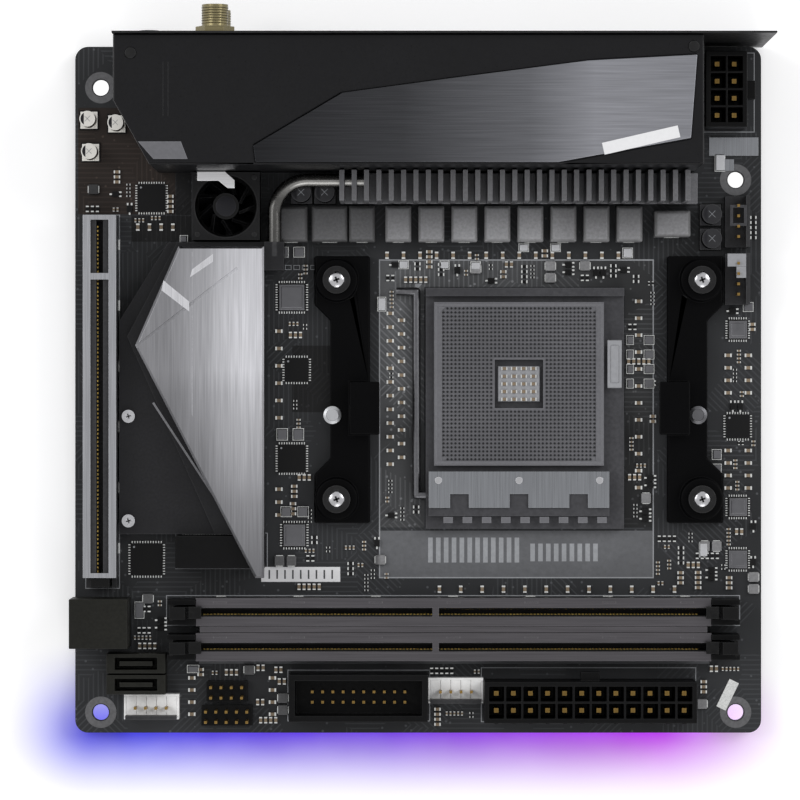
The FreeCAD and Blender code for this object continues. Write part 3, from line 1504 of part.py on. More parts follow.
def power_connector(x, y, columns, rows, catch):
    """Make the housing and the pins of a power connector; catch is its side as (x, y)."""
    wide = f"({columns} * power_pitch + 2 * power_wall)"
    deep = f"({rows} * power_pitch + 2 * power_wall)"
    housing = middle(x, y, TOP, wide, deep, "power_tall")
    floor = f"({TOP} + power_tall - power_deep)"
    cells = []
    pins = []
    for column in range(columns):
        for row in range(rows):
            cell_x = f"{x} + ({column} - {(columns - 1) / 2}) * power_pitch"
            cell_y = f"{y} + ({row} - {(rows - 1) / 2}) * power_pitch"
            cells.append(middle(cell_x, cell_y, floor, "power_cell", "power_cell", "power_deep"))
            pins.append(
                middle(cell_x, cell_y, floor, "power_pin", "power_pin", "power_deep * 0.7")
            )
    across, along = catch
    if across:
        hook = block(
            f"{x} + {wide} / 2",
            f"{y} - catch_wide / 2",
            f"{TOP} + power_tall / 2",
            "catch_thick",
            "catch_wide",
            "power_tall / 4",
        )
    else:
        hook = block(
            f"{x} - catch_wide / 2",
            f"{y} + {deep} / 2",
            f"{TOP} + power_tall / 2",
            "catch_wide",
            "catch_thick",
            "power_tall / 4",
        )
    return fuse(cut(housing, *cells), hook), pins


def pin_grid(x, y, columns, rows, low, tall):
    """Make a grid of header pins that is centred on a point."""
    return [
        middle(
            f"{x} + ({column} - {(columns - 1) / 2}) * pin_pitch",
            f"{y} + ({row} - {(rows - 1) / 2}) * pin_pitch",
            low,
            "pin_side",
            "pin_side",
            tall,
        )
        for column in range(columns)
        for row in range(rows)
    ]


# Small headers: centre across, centre front to back, columns and rows.
PIN_HEADERS = [(31.4, -155.6, 5, 2), (31.4, -149.6, 4, 2)]
# Fan headers: centre across, centre front to back and whether the row runs front to back.
FAN_HEADERS = [(88.0, -149.4, False), (12.8, -153.4, False), (157.6, -33.4, True), (157.6, -47.6, True)]


def make_connectors():
    """Power connectors, front headers and storage connectors."""
    main, main_pins = power_connector("main_x", "main_y", 12, 2, (0, 1))
    keep("main_power_connector", main)
    processor, processor_pins = power_connector("eps_x", "eps_y", 2, 4, (1, 0))
    keep("processor_power_connector", processor)
    keep("power_pins", group(main_pins + processor_pins))

    housing = middle("usb3_x", "usb3_y", TOP, "usb3_long", "usb3_wide", "usb3_tall")
    hollow = middle(
        "usb3_x",
        "usb3_y",
        f"{TOP} + usb3_floor",
        "usb3_long - 2 * usb3_wall",
        "usb3_wide - 2 * usb3_wall",
        "usb3_tall",
    )
    keep("front_usb_header", cut(housing, hollow))
    pins = pin_grid("usb3_x", "usb3_y", 10, 2, f"{TOP} + usb3_floor", "usb3_tall / 3")

    bases = []
    for x, y, columns, rows in PIN_HEADERS:
        bases.append(
            middle(x, y, TOP, f"{columns} * pin_pitch", f"{rows} * pin_pitch", "pin_base")
        )
        pins += pin_grid(x, y, columns, rows, f"{TOP} + pin_base", "pin_tall - pin_base")
    keep("pin_header_bases", group(bases))

    shells = []
    for x, y, turned in FAN_HEADERS:
        wide, deep = "fan_header_wide", "fan_header_deep"
        if turned:
            base = middle(x, y, TOP, deep, wide, "pin_base")
            wall = middle(
                f"{x} + ({deep} - fan_header_wall) / 2",
                y,
                f"{TOP} + pin_base",
                "fan_header_wall",
                wide,
                "fan_header_tall - pin_base",
            )
            pins += pin_grid(x, y, 1, 4, f"{TOP} + pin_base", "pin_tall - pin_base")
        else:
            base = middle(x, y, TOP, wide, deep, "pin_base")
            wall = middle(
                x,
                f"{y} - ({deep} - fan_header_wall) / 2",
                f"{TOP} + pin_base",
                wide,
                "fan_header_wall",
                "fan_header_tall - pin_base",
            )
            pins += pin_grid(x, y, 4, 1, f"{TOP} + pin_base", "pin_tall - pin_base")
        shells.append(fuse(base, wall))
    keep("fan_headers", group(shells))
    keep("header_pins", group(pins))

    left = f"({BOARD_LEFT} - sata_out)"
    stack = block(left, "sata_rear - sata_wide", TOP, "sata_deep", "sata_wide", "sata_tall")
    mouths = []
    blades = []
    for level in (1, 3):
        z = f"({TOP} + {level} * sata_tall / 4)"
        mouths.append(
            block(
                left,
                "sata_rear - (sata_wide + sata_mouth) / 2",
                f"{z} - sata_mouth_tall / 2",
                "sata_mouth_deep",
                "sata_mouth",
                "sata_mouth_tall",
            )
        )
        blades.append(
            block(
                f"{left} + can_wall",
                "sata_rear - (sata_wide + sata_mouth) / 2 + sata_blade",
                f"{z} - sata_blade / 2",
                "sata_mouth_deep - can_wall",
                "sata_mouth - 2 * sata_blade",
                "sata_blade",
            )
        )
    keep("storage_ports_side", fuse(cut(stack, *mouths), *blades))
    uprights = []
    for i in range(2):
        y = f"(sata_up_y - {i} * sata_up_pitch)"
        shell = middle("sata_up_x", y, TOP, "sata_up_long", "sata_up_wide", "sata_up_tall")
        floor = f"({TOP} + sata_up_tall - sata_mouth_deep)"
        mouth = middle(
            "sata_up_x", y, floor, "sata_mouth", "sata_mouth_tall", "sata_mouth_deep"
        )
        blade = middle(
            "sata_up_x",
            y,
            floor,
            "sata_mouth - 2 * sata_blade",
            "sata_blade",
            "sata_mouth_deep - can_wall",
        )
        uprights.append(fuse(cut(shell, mouth), blade))
    keep("storage_ports_upright", group(uprights))


AUDIO_CAPS = [(-2.9, -8.1), (4.0, -9.0), (-2.5, -16.1)]
POWER_CAPS = [(49.8, -26.2), (55.6, -26.2), (151.2, -31.6), (151.2, -37.6)]
# Chips: centre across, centre front to back and side.
CHIPS = [
    (47.4, -52.0, 7.0),
    (48.6, -70.0, 6.0),
    (47.4, -92.0, 7.0),
    (48.0, -111.0, 6.0),
    (12.6, -27.4, 7.0),
    (11.4, -117.0, 8.0),
    (158.0, -60.0, 5.0),
    (158.0, -84.0, 6.0),
    (158.0, -104.0, 5.0),
    (158.0, -117.0, 5.0),
]
# Rows of the smallest parts: first centre, step and count.
SMALL_ROWS = [
    (71.0, -41.6, 4.1, 0.0, 15),
    (71.8, -56.0, 0.0, -3.4, 12),
    (74.6, -57.7, 0.0, -3.4, 11),
    (133.4, -53.0, 0.0, -4.2, 12),
    (44.2, -60.4, 0.0, -4.3, 6),
    (44.2, -99.6, 0.0, -3.2, 3),
    (155.6, -66.4, 0.0, -3.1, 4),
    (160.6, -66.4, 0.0, -3.1, 4),
    (155.6, -90.0, 0.0, -3.1, 4),
    (160.6, -90.0, 0.0, -3.1, 4),
    (9.2, -34.6, 2.9, 0.0, 4),
    (84.0, -124.4, 5.3, 0.0, 12),
    (42.6, -146.4, 0.0, -3.0, 4),
    (22.6, -146.4, 0.0, -3.0, 4),
]


def capacitor(x, y, radius, tall):
    """Make a round capacitor on its square foot."""
    foot = middle(x, y, TOP, f"2 * {radius}", f"2 * {radius}", "cap_foot")
    can = rod(x, y, f"{TOP} + cap_foot", f"{radius} - fit_gap", f"{tall} - cap_foot")
    return fuse(foot, can)


def make_small_parts():
    """Capacitors, chips, the smallest parts and the light strip."""
    caps = [capacitor(x, y, "cap_radius", "cap_tall") for x, y in AUDIO_CAPS]
    keep("audio_capacitors", group(caps))
    caps = [capacitor(x, y, "power_cap_radius", "power_cap_tall * 0.8") for x, y in POWER_CAPS]
    keep("power_capacitors", group(caps))
    chips = [middle(x, y, TOP, side, side, "1.8 * small_tall") for x, y, side in CHIPS]
    chipset = middle("chip_x", "chip_y", TOP, "chip_side", "chip_side", "chip_tall")
    keep("controller_chips", group(chips + [chipset]))
    small = []
    for first_x, first_y, step_x, step_y, count in SMALL_ROWS:
        for i in range(count):
            wide, deep = (0.8, 1.6) if step_x else (1.6, 0.8)
            x = first_x + i * step_x
            y = first_y + i * step_y
            small.append(middle(x, y, TOP, wide, deep, "small_tall"))
    keep("small_parts", group(small))
    strip = block(
        "hole_pitch_x / 2 - strip_long / 2",
        f"{BOARD_FRONT} + strip_in",
        "-strip_thick",
        "strip_long",
        "strip_wide",
        "strip_thick",
    )
    keep("light_strip", strip)


def check_and_export():
    """Check every object and write one file for each sub-part."""
    doc.recompute()
    for item in doc.Objects:
        if "Invalid" in item.State or "Error" in item.State:
            raise RuntimeError(f"{item.Label} failed: {item.State}")
    for item in NODES:
        if item.Shape.isNull() or not item.Shape.isValid() or not item.Shape.Solids:
            raise RuntimeError(f"{item.Label} has no valid solid")
    os.makedirs("parts", exist_ok=True)
    for item in NODES:
        item.Shape.exportStep(f"parts/{item.Label}.step")


make_board()
make_backplate()
make_brackets()
make_socket()
make_memory()
make_expansion_slot()
make_storage_heatsink()
make_chipset_fan()
make_regulator()
make_rear_connectors()
make_shield()
make_shroud()
make_connectors()
make_small_parts()
check_and_export()
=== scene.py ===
import math
import random

import bmesh
import bpy
from bpy.props import FloatProperty, FloatVectorProperty, IntProperty, PointerProperty
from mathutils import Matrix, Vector


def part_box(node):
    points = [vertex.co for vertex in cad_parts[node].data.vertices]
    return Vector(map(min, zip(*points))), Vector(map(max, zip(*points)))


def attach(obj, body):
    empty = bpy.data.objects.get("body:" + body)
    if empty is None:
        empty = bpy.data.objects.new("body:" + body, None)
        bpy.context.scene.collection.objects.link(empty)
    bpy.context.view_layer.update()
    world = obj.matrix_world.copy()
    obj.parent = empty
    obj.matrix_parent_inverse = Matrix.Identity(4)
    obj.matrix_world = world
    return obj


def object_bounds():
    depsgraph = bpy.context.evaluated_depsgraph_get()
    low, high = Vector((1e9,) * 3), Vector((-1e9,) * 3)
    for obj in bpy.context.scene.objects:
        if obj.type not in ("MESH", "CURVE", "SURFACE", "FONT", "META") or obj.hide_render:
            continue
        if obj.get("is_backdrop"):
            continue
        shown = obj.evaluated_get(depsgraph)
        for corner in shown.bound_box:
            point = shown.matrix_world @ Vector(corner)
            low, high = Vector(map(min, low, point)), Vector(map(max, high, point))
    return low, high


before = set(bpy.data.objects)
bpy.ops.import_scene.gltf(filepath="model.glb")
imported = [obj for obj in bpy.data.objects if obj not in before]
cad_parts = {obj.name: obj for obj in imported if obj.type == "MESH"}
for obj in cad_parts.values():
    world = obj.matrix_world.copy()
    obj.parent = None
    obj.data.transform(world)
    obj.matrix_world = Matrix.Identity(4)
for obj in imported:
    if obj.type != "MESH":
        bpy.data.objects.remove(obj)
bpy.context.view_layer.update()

bl_info = {
    "name": "Compact Motherboard",
    "version": (1, 0, 0),
    "blender": (4, 5, 0),
    "location": "3D View > Sidebar > Motherboard",
    "description": "Finishes and fine detail for a compact computer motherboard",
    "category": "Add Mesh",
}

MM = 0.001
BOARD_TOP = 1.6         # millimetres
FLOOR_GAP = 0.0002      # metres between the lowest point and the floor


# ---------------------------------------------------------------- sizes and colours


def linear(red, green, blue):
    """Turn a screen colour from 0 to 255 into the linear colour that Blender keeps."""
    made = []
    for value in (red, green, blue):
        part = value / 255
        made.append(part / 12.92 if part <= 0.04045 else ((part + 0.055) / 1.055) ** 2.4)
    return tuple(made)


def colour(name, description, red, green, blue):
    """A colour that a user can change."""
    return FloatVectorProperty(
        name=name,
        description=description,
        subtype="COLOR",
        min=0.0,
        max=1.0,
        default=linear(red, green, blue),
    )


def length(name, description, millimetres):
    """A size in metres that a user can change."""
    return FloatProperty(
        name=name,
        description=description,
        subtype="DISTANCE",
        unit="LENGTH",
        min=0.0,
        default=millimetres * MM,
        precision=5,
    )


class FinishColours(bpy.types.PropertyGroup):
    """Colours of the board's finishes."""

    lacquer: colour("Lacquer", "Solder mask of the circuit board", 42, 43, 45)
    print_grey: colour("Print", "Printed lines and bands on the board", 150, 152, 156)
    shroud: colour("Shroud", "Plastic cover over the rear connectors", 20, 20, 22)
    silver: colour("Silver", "Armour of the expansion slot", 150, 151, 155)
    armour: colour("Memory armour", "Shells of the memory slots", 80, 78, 81)
    plastic: colour("Plastic", "Slots, latches and connector housings", 9, 9, 10)
    anodised: colour("Anodised", "Heat sinks", 34, 34, 36)
    can: colour("Capacitors", "Tops of the capacitor cans", 205, 203, 198)
    gold: colour("Gold", "Contacts and antenna jacks", 214, 172, 92)


class GlowSettings(bpy.types.PropertyGroup):
    """Light strip under the front edge."""

    left: colour("Left", "Colour at the strip's left end", 30, 16, 214)
    middle: colour("Middle", "Colour at the strip's middle", 112, 24, 214)
    right: colour("Right", "Colour at the strip's right end", 186, 24, 222)
    reach: length("Reach", "How far the glow spreads over the floor", 21.0)
    strength: FloatProperty(
        name="Strength",
        description="Brightness of the strip itself",
        min=0.0,
        default=2.2,
    )


class DetailSizes(bpy.types.PropertyGroup):
    """Sizes of the fine detail."""

    edge: length("Edge", "Rounding of moulded and machined edges", 0.22)
    print_thick: length("Print thickness", "Height of printed lines", 0.03)
    chip_count: IntProperty(
        name="Small parts",
        description="How many chip resistors and capacitors are scattered over the board",
        min=0,
        max=2000,
        default=760,
    )
    seed: IntProperty(
        name="Seed", description="Arrangement of the scattered parts", default=11
    )


class StageSettings(bpy.types.PropertyGroup):
    """Floor, lamps and camera."""

    floor: colour("Floor", "Floor under the board", 244, 244, 245)
    floor_wide: length("Floor width", "Side of the square floor", 4000.0)
    camera_up: length("Camera height", "Camera above the board's top", 1090.0)
    lens: FloatProperty(
        name="Lens", description="Focal length in millimetres", min=1.0, default=197.7
    )
    backdrop: FloatProperty(
        name="Backdrop",
        description="How much the floor is lifted towards white where it is looked at",
        min=0.0,
        default=0.28,
    )
    sky: FloatProperty(
        name="Sky", description="Brightness of the even light", min=0.0, default=0.55
    )
    lamp: FloatProperty(
        name="Lamps",
        description="Power of each soft lamp",
        unit="POWER",
        min=0.0,
        default=4.4,
    )


# ---------------------------------------------------------------- finishes


class Paint:
    """A material while it is mixed: its node tree, shader and coordinates."""

    def __init__(self, name, metallic=0.0, roughness=0.5, specular=0.5):
        self.material = bpy.data.materials.new(name + "_finish")
        self.material.use_nodes = True
        self.tree = self.material.node_tree
        self.shader = self.tree.nodes["Principled BSDF"]
        self.shader.inputs["Metallic"].default_value = metallic
        self.shader.inputs["Roughness"].default_value = roughness
        self.shader.inputs["Specular IOR Level"].default_value = specular
        self.place = self.tree.nodes.new("ShaderNodeTexCoord").outputs["Object"]

    def node(self, kind, inputs=None, **settings):
        """Add a node, give it its settings and feed its sockets."""
        made = self.tree.nodes.new(kind)
        for key, value in settings.items():
            setattr(made, key, value)
        for key, value in (inputs or {}).items():
            self.feed(made.inputs[key], value)
        return made

    def feed(self, socket, value):
        """Link an output to a socket, or set the socket's own value."""
        if isinstance(value, bpy.types.NodeSocket):
            self.tree.links.new(value, socket)
        else:
            socket.default_value = value

    def set(self, socket, value):
        """Feed one of the shader's sockets."""
        self.feed(self.shader.inputs[socket], value)

    def sum(self, operation, first, second=0.0):
        """One step of arithmetic."""
        return self.node("ShaderNodeMath", {0: first, 1: second}, operation=operation).outputs[0]

    def times(self, first, second):
        """One value times another."""
        return self.sum("MULTIPLY", first, second)

    def most(self, *values):
        """The highest of some values."""
        made = values[0]
        for value in values[1:]:
            made = self.sum("MAXIMUM", made, value)
        return made

    def stretched(self, scale, turn=0.0):
        """Coordinates that are scaled along each axis, then turned about Z."""
        made = self.node(
            "ShaderNodeMapping",
            {"Vector": self.place, "Scale": scale, "Rotation": (0.0, 0.0, math.radians(turn))},
        )
        return made.outputs[0]

    def noise(self, scale, detail=2.0, stretch=None, turn=0.0):
        """Noise from 0 to 1; the scale is in repeats per metre."""
        place = self.stretched(stretch, turn) if stretch else self.place
        made = self.node(
            "ShaderNodeTexNoise", {"Vector": place, "Scale": scale, "Detail": detail}
        )
        return made.outputs["Fac"]

    def cells(self, scale):
        """Voronoi cells."""
        return self.node("ShaderNodeTexVoronoi", {"Vector": self.place, "Scale": scale})

    def bands(self, scale, turn=0.0, width=0.3):
        """Parallel lines at an angle, as a mask."""
        place = self.stretched((1.0, 1.0, 1.0), turn)
        wave = self.node("ShaderNodeTexWave", {"Vector": place, "Scale": scale}).outputs["Fac"]
        return self.slope(wave, 1.0 - width, 1.0 - width / 3)

    def slope(self, value, low, high, floor=0.0, top=1.0):
        """Map a value from low to high onto floor to top."""
        made = self.node(
            "ShaderNodeMapRange",
            {"Value": value, "From Min": low, "From Max": high, "To Min": floor, "To Max": top},
        )
        return made.outputs[0]

    def axis(self, letter):
        """One of the object's coordinates, in metres."""
        return self.node("ShaderNodeSeparateXYZ", {"Vector": self.place}).outputs[letter]

    def mix(self, factor, first, second, blend="MIX"):
        """Mix two colours."""
        made = self.node("ShaderNodeMix", data_type="RGBA", blend_type=blend)
        self.feed(made.inputs[0], factor)
        for index, value in ((6, first), (7, second)):
            if not isinstance(value, bpy.types.NodeSocket):
                value = (*value[:3], 1.0)
            self.feed(made.inputs[index], value)
        return made.outputs[2]

    def ramp(self, value, stops):
        """Colours along a value."""
        made = self.node("ShaderNodeValToRGB", {"Fac": value})
        band = made.color_ramp
        while len(band.elements) < len(stops):
            band.elements.new(0.5)
        for element, (place, tone) in zip(band.elements, stops):
            element.position = place
            element.color = (*tone[:3], 1.0)
        return made.outputs[0]

    def bump(self, height, strength, millimetres):
        """Raise or sink the surface by a height from 0 to 1."""
        made = self.node(
            "ShaderNodeBump",
            {"Height": height, "Strength": strength, "Distance": millimetres * MM},
        )
        self.set("Normal", made.outputs[0])

    def edge_wear_and_highlight(self, tone, edge_wear_and_highlight_tone, amount, millimetres=0.35):
        """Lighten the edges in broken patches: partly wear, partly a painted highlight along the
        edges.
        """
        rounded = self.node("ShaderNodeBevel", {"Radius": millimetres * MM}, samples=4)
        flat = self.node("ShaderNodeNewGeometry")
        dot = self.node(
            "ShaderNodeVectorMath",
            {0: rounded.outputs[0], 1: flat.outputs["Normal"]},
            operation="DOT_PRODUCT",
        ).outputs["Value"]
        edge = self.slope(dot, 0.995, 0.80)
        # Painted edge highlight, broken up by noise like wear.
        edge_wear_and_highlight_mask = self.times(edge, self.slope(self.noise(900.0), 0.35, 0.65, 0.3, amount))
        return self.mix(edge_wear_and_highlight_mask, tone, edge_wear_and_highlight_tone)


# How brushed scratches are stretched: along X, along Y, or a fine cloud.
ACROSS, ALONG = (1.0, 60.0, 60.0), (60.0, 1.0, 60.0)
CLOUD, FINE_CLOUD = (8.0, 8.0, 8.0), (20.0, 20.0, 20.0)


def darker(tone, share):
    """A colour times a share."""
    return tuple(part * share for part in tone[:3])


def grained(name, tone, metallic, roughness, specular, scale, bump=0.15, spread=0.22, edge_wear_and_highlight=0.35):
    """A moulded or blasted surface: fine grain, uneven tone, and edges lightened as wear and as a
    painted highlight.
    """
    paint = Paint(name, metallic, roughness, specular)
    broad = paint.noise(45.0, 3.0)
    fine = paint.noise(scale, 4.0)
    both = paint.times(broad, fine)
    uneven = paint.mix(
        paint.slope(both, 0.12, 0.40), darker(tone, 1 - spread), darker(tone, 1 + spread)
    )
    # Lighter edge tone: wear and painted highlight.
    light = tuple(min(1.0, part * 2.2 + 0.05) for part in tone[:3])
    paint.set("Base Color", paint.edge_wear_and_highlight(uneven, light, edge_wear_and_highlight) if edge_wear_and_highlight else uneven)
    paint.set("Roughness", paint.slope(fine, 0.3, 0.7, roughness - 0.07, roughness + 0.09))
    paint.bump(fine, bump, 0.05)
    return paint


def brushed(name, tone, roughness, stretch=ACROSS, turn=0.0, spread=0.16):
    """Metal with fine parallel scratches, and edges lightened as wear and as a painted highlight.
    """
    paint = Paint(name, 1.0, roughness)
    lines = paint.noise(60.0, 5.0, stretch, turn)
    cloud = paint.noise(30.0, 2.0)
    tone_here = paint.mix(
        paint.slope(lines, 0.3, 0.7), darker(tone, 1 - spread), darker(tone, 1 + spread * 0.6)
    )
    tone_here = paint.mix(paint.slope(cloud, 0.4, 0.7, 0.0, 0.25), tone_here, darker(tone, 0.8))
    # Lighter edge tone: wear and painted highlight.
    light = tuple(min(1.0, part * 1.3 + 0.08) for part in tone[:3])
    paint.set("Base Color", paint.edge_wear_and_highlight(tone_here, light, 0.5))
    paint.set("Roughness", paint.slope(lines, 0.3, 0.7, roughness - 0.06, roughness + 0.08))
    paint.bump(lines, 0.10, 0.03)
    return paint


def lacquered(name, tone):
    """Solder mask: bundles of covered tracks, vias and a faint glass weave."""
    paint = Paint(name, 0.0, 0.42, 0.15)
    patch = paint.cells(95.0)
    pick = paint.node("ShaderNodeSeparateColor", {"Color": patch.outputs["Color"]})
    tracks = paint.bands(260.0)
    for turn, level in ((90.0, 0.33), (45.0, 0.62), (-45.0, 0.82)):
        chosen = paint.sum("GREATER_THAN", pick.outputs[0], level)
        kept = paint.times(tracks, paint.sum("SUBTRACT", 1.0, chosen))
        tracks = paint.sum("ADD", paint.times(paint.bands(260.0, turn), chosen), kept)
    tracks = paint.times(tracks, paint.sum("GREATER_THAN", pick.outputs[1], 0.35))
    ring = paint.slope(paint.cells(430.0).outputs["Distance"], 0.16, 0.10)
    weave = paint.times(paint.bands(900.0, 0.0, 0.8), paint.bands(900.0, 90.0, 0.8))
    cloud = paint.slope(paint.noise(24.0, 3.0), 0.35, 0.65)
    base = paint.mix(cloud, darker(tone, 0.75), darker(tone, 1.25))
    for mask, amount, share in ((weave, 0.12, 1.9), (tracks, 0.55, 2.4), (ring, 0.6, 4.5)):
        base = paint.mix(paint.times(mask, amount), base, darker(tone, share))
    paint.set("Base Color", base)
    paint.set("Roughness", paint.slope(paint.noise(260.0, 3.0), 0.3, 0.7, 0.34, 0.52))
    paint.bump(paint.sum("ADD", tracks, paint.times(ring, 0.8)), 0.35, 0.06)
    return paint


def shaded(paint, letter, stops):
    """Darken a finish along one axis, mostly as painted light and shade: stops of a place in
    millimetres and a share.
    """
    low, high = stops[0][0], stops[-1][0]
    share = paint.slope(paint.axis(letter), low * MM, high * MM)
    tones = [((place - low) / (high - low), (level,) * 3) for place, level in stops]
    old = paint.shader.inputs["Base Color"].links[0].from_socket
    paint.set("Base Color", paint.mix(1.0, old, paint.ramp(share, tones), "MULTIPLY"))


def glowing(name, glow):
    """The light strip: a milky lens whose colour runs from end to end."""
    paint = Paint(name, 0.0, 0.35)
    low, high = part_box("light_strip")
    share = paint.slope(paint.axis("X"), low.x, high.x)
    tone = paint.ramp(share, ((0.0, glow.left), (0.5, glow.middle), (1.0, glow.right)))
    spots = paint.slope(paint.bands(22.0, 0.0, 0.9), 0.0, 1.0, 0.75, 1.0)
    paint.set("Base Color", tone)
    paint.set("Emission Color", tone)
    paint.set("Emission Strength", paint.times(spots, glow.strength))
    paint.set("Roughness", paint.slope(paint.noise(500.0), 0.3, 0.7, 0.3, 0.45))
    return paint


FINISHES = {}


def finish(name):
    """The material of a finish, once the finishes are mixed."""
    if name not in FINISHES:
        raise RuntimeError(f"finish {name} isn't mixed yet")
    return FINISHES[name]


# ---------------------------------------------------------------- meshes


class Shape:
    """Faces gathered for one piece. Points are in millimetres in the board's frame."""

    def __init__(self):
        self.mesh = bmesh.new()

    def points(self, rings, caps=True):
        """Skin a list of rings, each with the same number of points."""
        made = [[self.mesh.verts.new(Vector(p) * MM) for p in ring] for ring in rings]
        count = len(made[0])
        for low, high in zip(made, made[1:]):
            for i in range(count):
                j = (i + 1) % count
                self.mesh.faces.new((low[i], low[j], high[j], high[i]))
        if caps:
            self.mesh.faces.new(list(reversed(made[0])))
            self.mesh.faces.new(made[-1])

    def prism(self, outline, low, high, inset=0.0):
        """An upright solid over an outline; its top may be drawn in."""
        cx = sum(p[0] for p in outline) / len(outline)
        cy = sum(p[1] for p in outline) / len(outline)
        top = []
        for x, y in outline:
            reach = math.hypot(x - cx, y - cy) or 1.0
            share = 1 - inset / reach
            top.append((cx + (x - cx) * share, cy + (y - cy) * share, high))
        self.points([[(x, y, low) for x, y in outline], top])

    def block(self, x, y, low, wide, deep, high, turn=0.0, inset=0.0):
        """A box centred on a point, turned about the vertical."""
        c, s = math.cos(math.radians(turn)), math.sin(math.radians(turn))
        corners = ((-1, -1), (1, -1), (1, 1), (-1, 1))
        outline = []
        for i, j in corners:
            dx, dy = i * wide / 2, j * deep / 2
            outline.append((x + dx * c - dy * s, y + dx * s + dy * c))
        self.prism(outline, low, high, inset)

    def slab(self, x0, x1, y0, y1, low, high, inset=0.0):
        """A box between two corners."""
        self.block((x0 + x1) / 2, (y0 + y1) / 2, low, x1 - x0, y1 - y0, high, 0.0, inset)

    def border(self, x0, x1, y0, y1, low, high, wide):
        """A frame of four bars inside a rectangle."""
        self.slab(x0, x1, y0, y0 + wide, low, high)
        self.slab(x0, x1, y1 - wide, y1, low, high)
        self.slab(x0, x0 + wide, y0 + wide, y1 - wide, low, high)
        self.slab(x1 - wide, x1, y0 + wide, y1 - wide, low, high)

    def turned(self, centre, profile, sides, way="Z", caps=True):
        """A turned solid: rings of a radius at a distance along an axis."""
        axes = {"X": (1, 2, 0), "Y": (2, 0, 1), "Z": (0, 1, 2)}[way]
        rings = []
        for radius, along in profile:
            ring = []
            for i in range(sides):
                angle = 2 * math.pi * (i + 0.5) / sides
                point = list(centre)
                point[axes[0]] += radius * math.cos(angle)
                point[axes[1]] += radius * math.sin(angle)
                point[axes[2]] += along
                ring.append(tuple(point))
            rings.append(ring)
        self.points(rings, caps=caps)

    def piece(self, name, paint, slot, edge=0.0, smooth=False, body="board"):
        """Make the object, with its finish, on the body that it moves with."""
        bmesh.ops.recalc_face_normals(self.mesh, faces=self.mesh.faces)
        mesh = bpy.data.meshes.new(name)
        self.mesh.to_mesh(mesh)
        self.mesh.free()
        made = bpy.data.objects.new(name, mesh)
        bpy.context.scene.collection.objects.link(made)
        mesh.materials.append(finish(paint))
        if smooth:
            mesh.shade_smooth()
            mesh.set_sharp_from_angle(angle=math.radians(40))
        if edge:
            rounding(made, edge)
        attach(made, body)


def rounding(made, edge):
    """Round an object's sharp edges."""
    bevel = made.modifiers.new("Rounding", "BEVEL")
    bevel.width = edge * MM
    bevel.segments = 2
    bevel.limit_method = "ANGLE"
    bevel.angle_limit = math.radians(35)
    bevel.harden_normals = True


def dress(paint, node, edge):
    """Give a CAD node its finish and round its edges."""
    node.data.materials.clear()
    node.data.materials.append(finish(paint))
    if edge:
        weld = node.modifiers.new("Join", "WELD")
        weld.merge_threshold = 0.002 * MM
        rounding(node, edge)


def box_mm(node):
    """A CAD node's lowest and highest corners in millimetres."""
    low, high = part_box(node)
    return low / MM, high / MM


def centre(low, high):
    """The middle of a box, across and front to back."""
    return (low.x + high.x) / 2, (low.y + high.y) / 2


def spaced(low, high, margin, count):
    """Evenly spaced places, with a margin at both ends."""
    step = (high - low - 2 * margin) / max(count - 1, 1)
    return [low + margin + i * step for i in range(count)]


def islands_mm(name):
    """Boxes of the separate solids of a CAD node, as low and high corners in millimetres."""
    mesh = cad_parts[name].data
    parent = list(range(len(mesh.vertices)))
    seen = {}
    for vertex in mesh.vertices:
        key = tuple(round(part * 1e5) for part in vertex.co)
        parent[vertex.index] = seen.setdefault(key, vertex.index)

    def root(i):
        while parent[i] != i:
            parent[i] = parent[parent[i]]
            i = parent[i]
        return i

    for face in mesh.polygons:
        first = root(face.vertices[0])
        for other in face.vertices[1:]:
            parent[root(other)] = first
    groups = {}
    for vertex in mesh.vertices:
        groups.setdefault(root(vertex.index), []).append(vertex.co / MM)
    made = []
    for points in groups.values():
        low = Vector([min(p[k] for p in points) for k in range(3)])
        high = Vector([max(p[k] for p in points) for k in range(3)])
        made.append((low, high))
    return sorted(made, key=lambda pair: (round(pair[0].x, 2), round(pair[0].y, 2)))


# Sizes of the detail, in millimetres where no other unit is given.
HOLE_ROWS, WINDOW_ROWS = 19, 7      # contact rows from the socket's middle to its rim and window
HOLE_PITCH = 0.98
LEG_PITCH = 0.65                    # between the legs of a chip
POWER_PITCH = 4.2                   # between the contacts of a power connector
SLEEVE_CELLS = 5                    # openings in a white fan header
STRIP_LAMPS = 12
SMALL_SHARE = 0.4                   # of the scattered rows are of the smaller size
TRIES = 12                          # at finding a free place for a row
LABEL = (39.8, 59.4, -122.6, -118.9)        # left, right, front and rear
# A cone of solder round a cut pin: radii and heights.
TAIL = ((0.62, 0.0), (0.36, -0.35), (0.26, -0.8), (0.12, -0.9))
CAMERA_SHIFT = Vector((-0.0045, -0.0065, 0.0))      # from the board's middle, in metres

# ---------------------------------------------------------------- operators


class Step(bpy.types.Operator):
    """One step in making the board's visual model"""

    bl_options = {"REGISTER", "UNDO"}

    @property
    def tones(self):
        return bpy.context.scene.board_tones

    @property
    def detail(self):
        return bpy.context.scene.board_detail

    def execute(self, context):
        self.make()
        return {"FINISHED"}
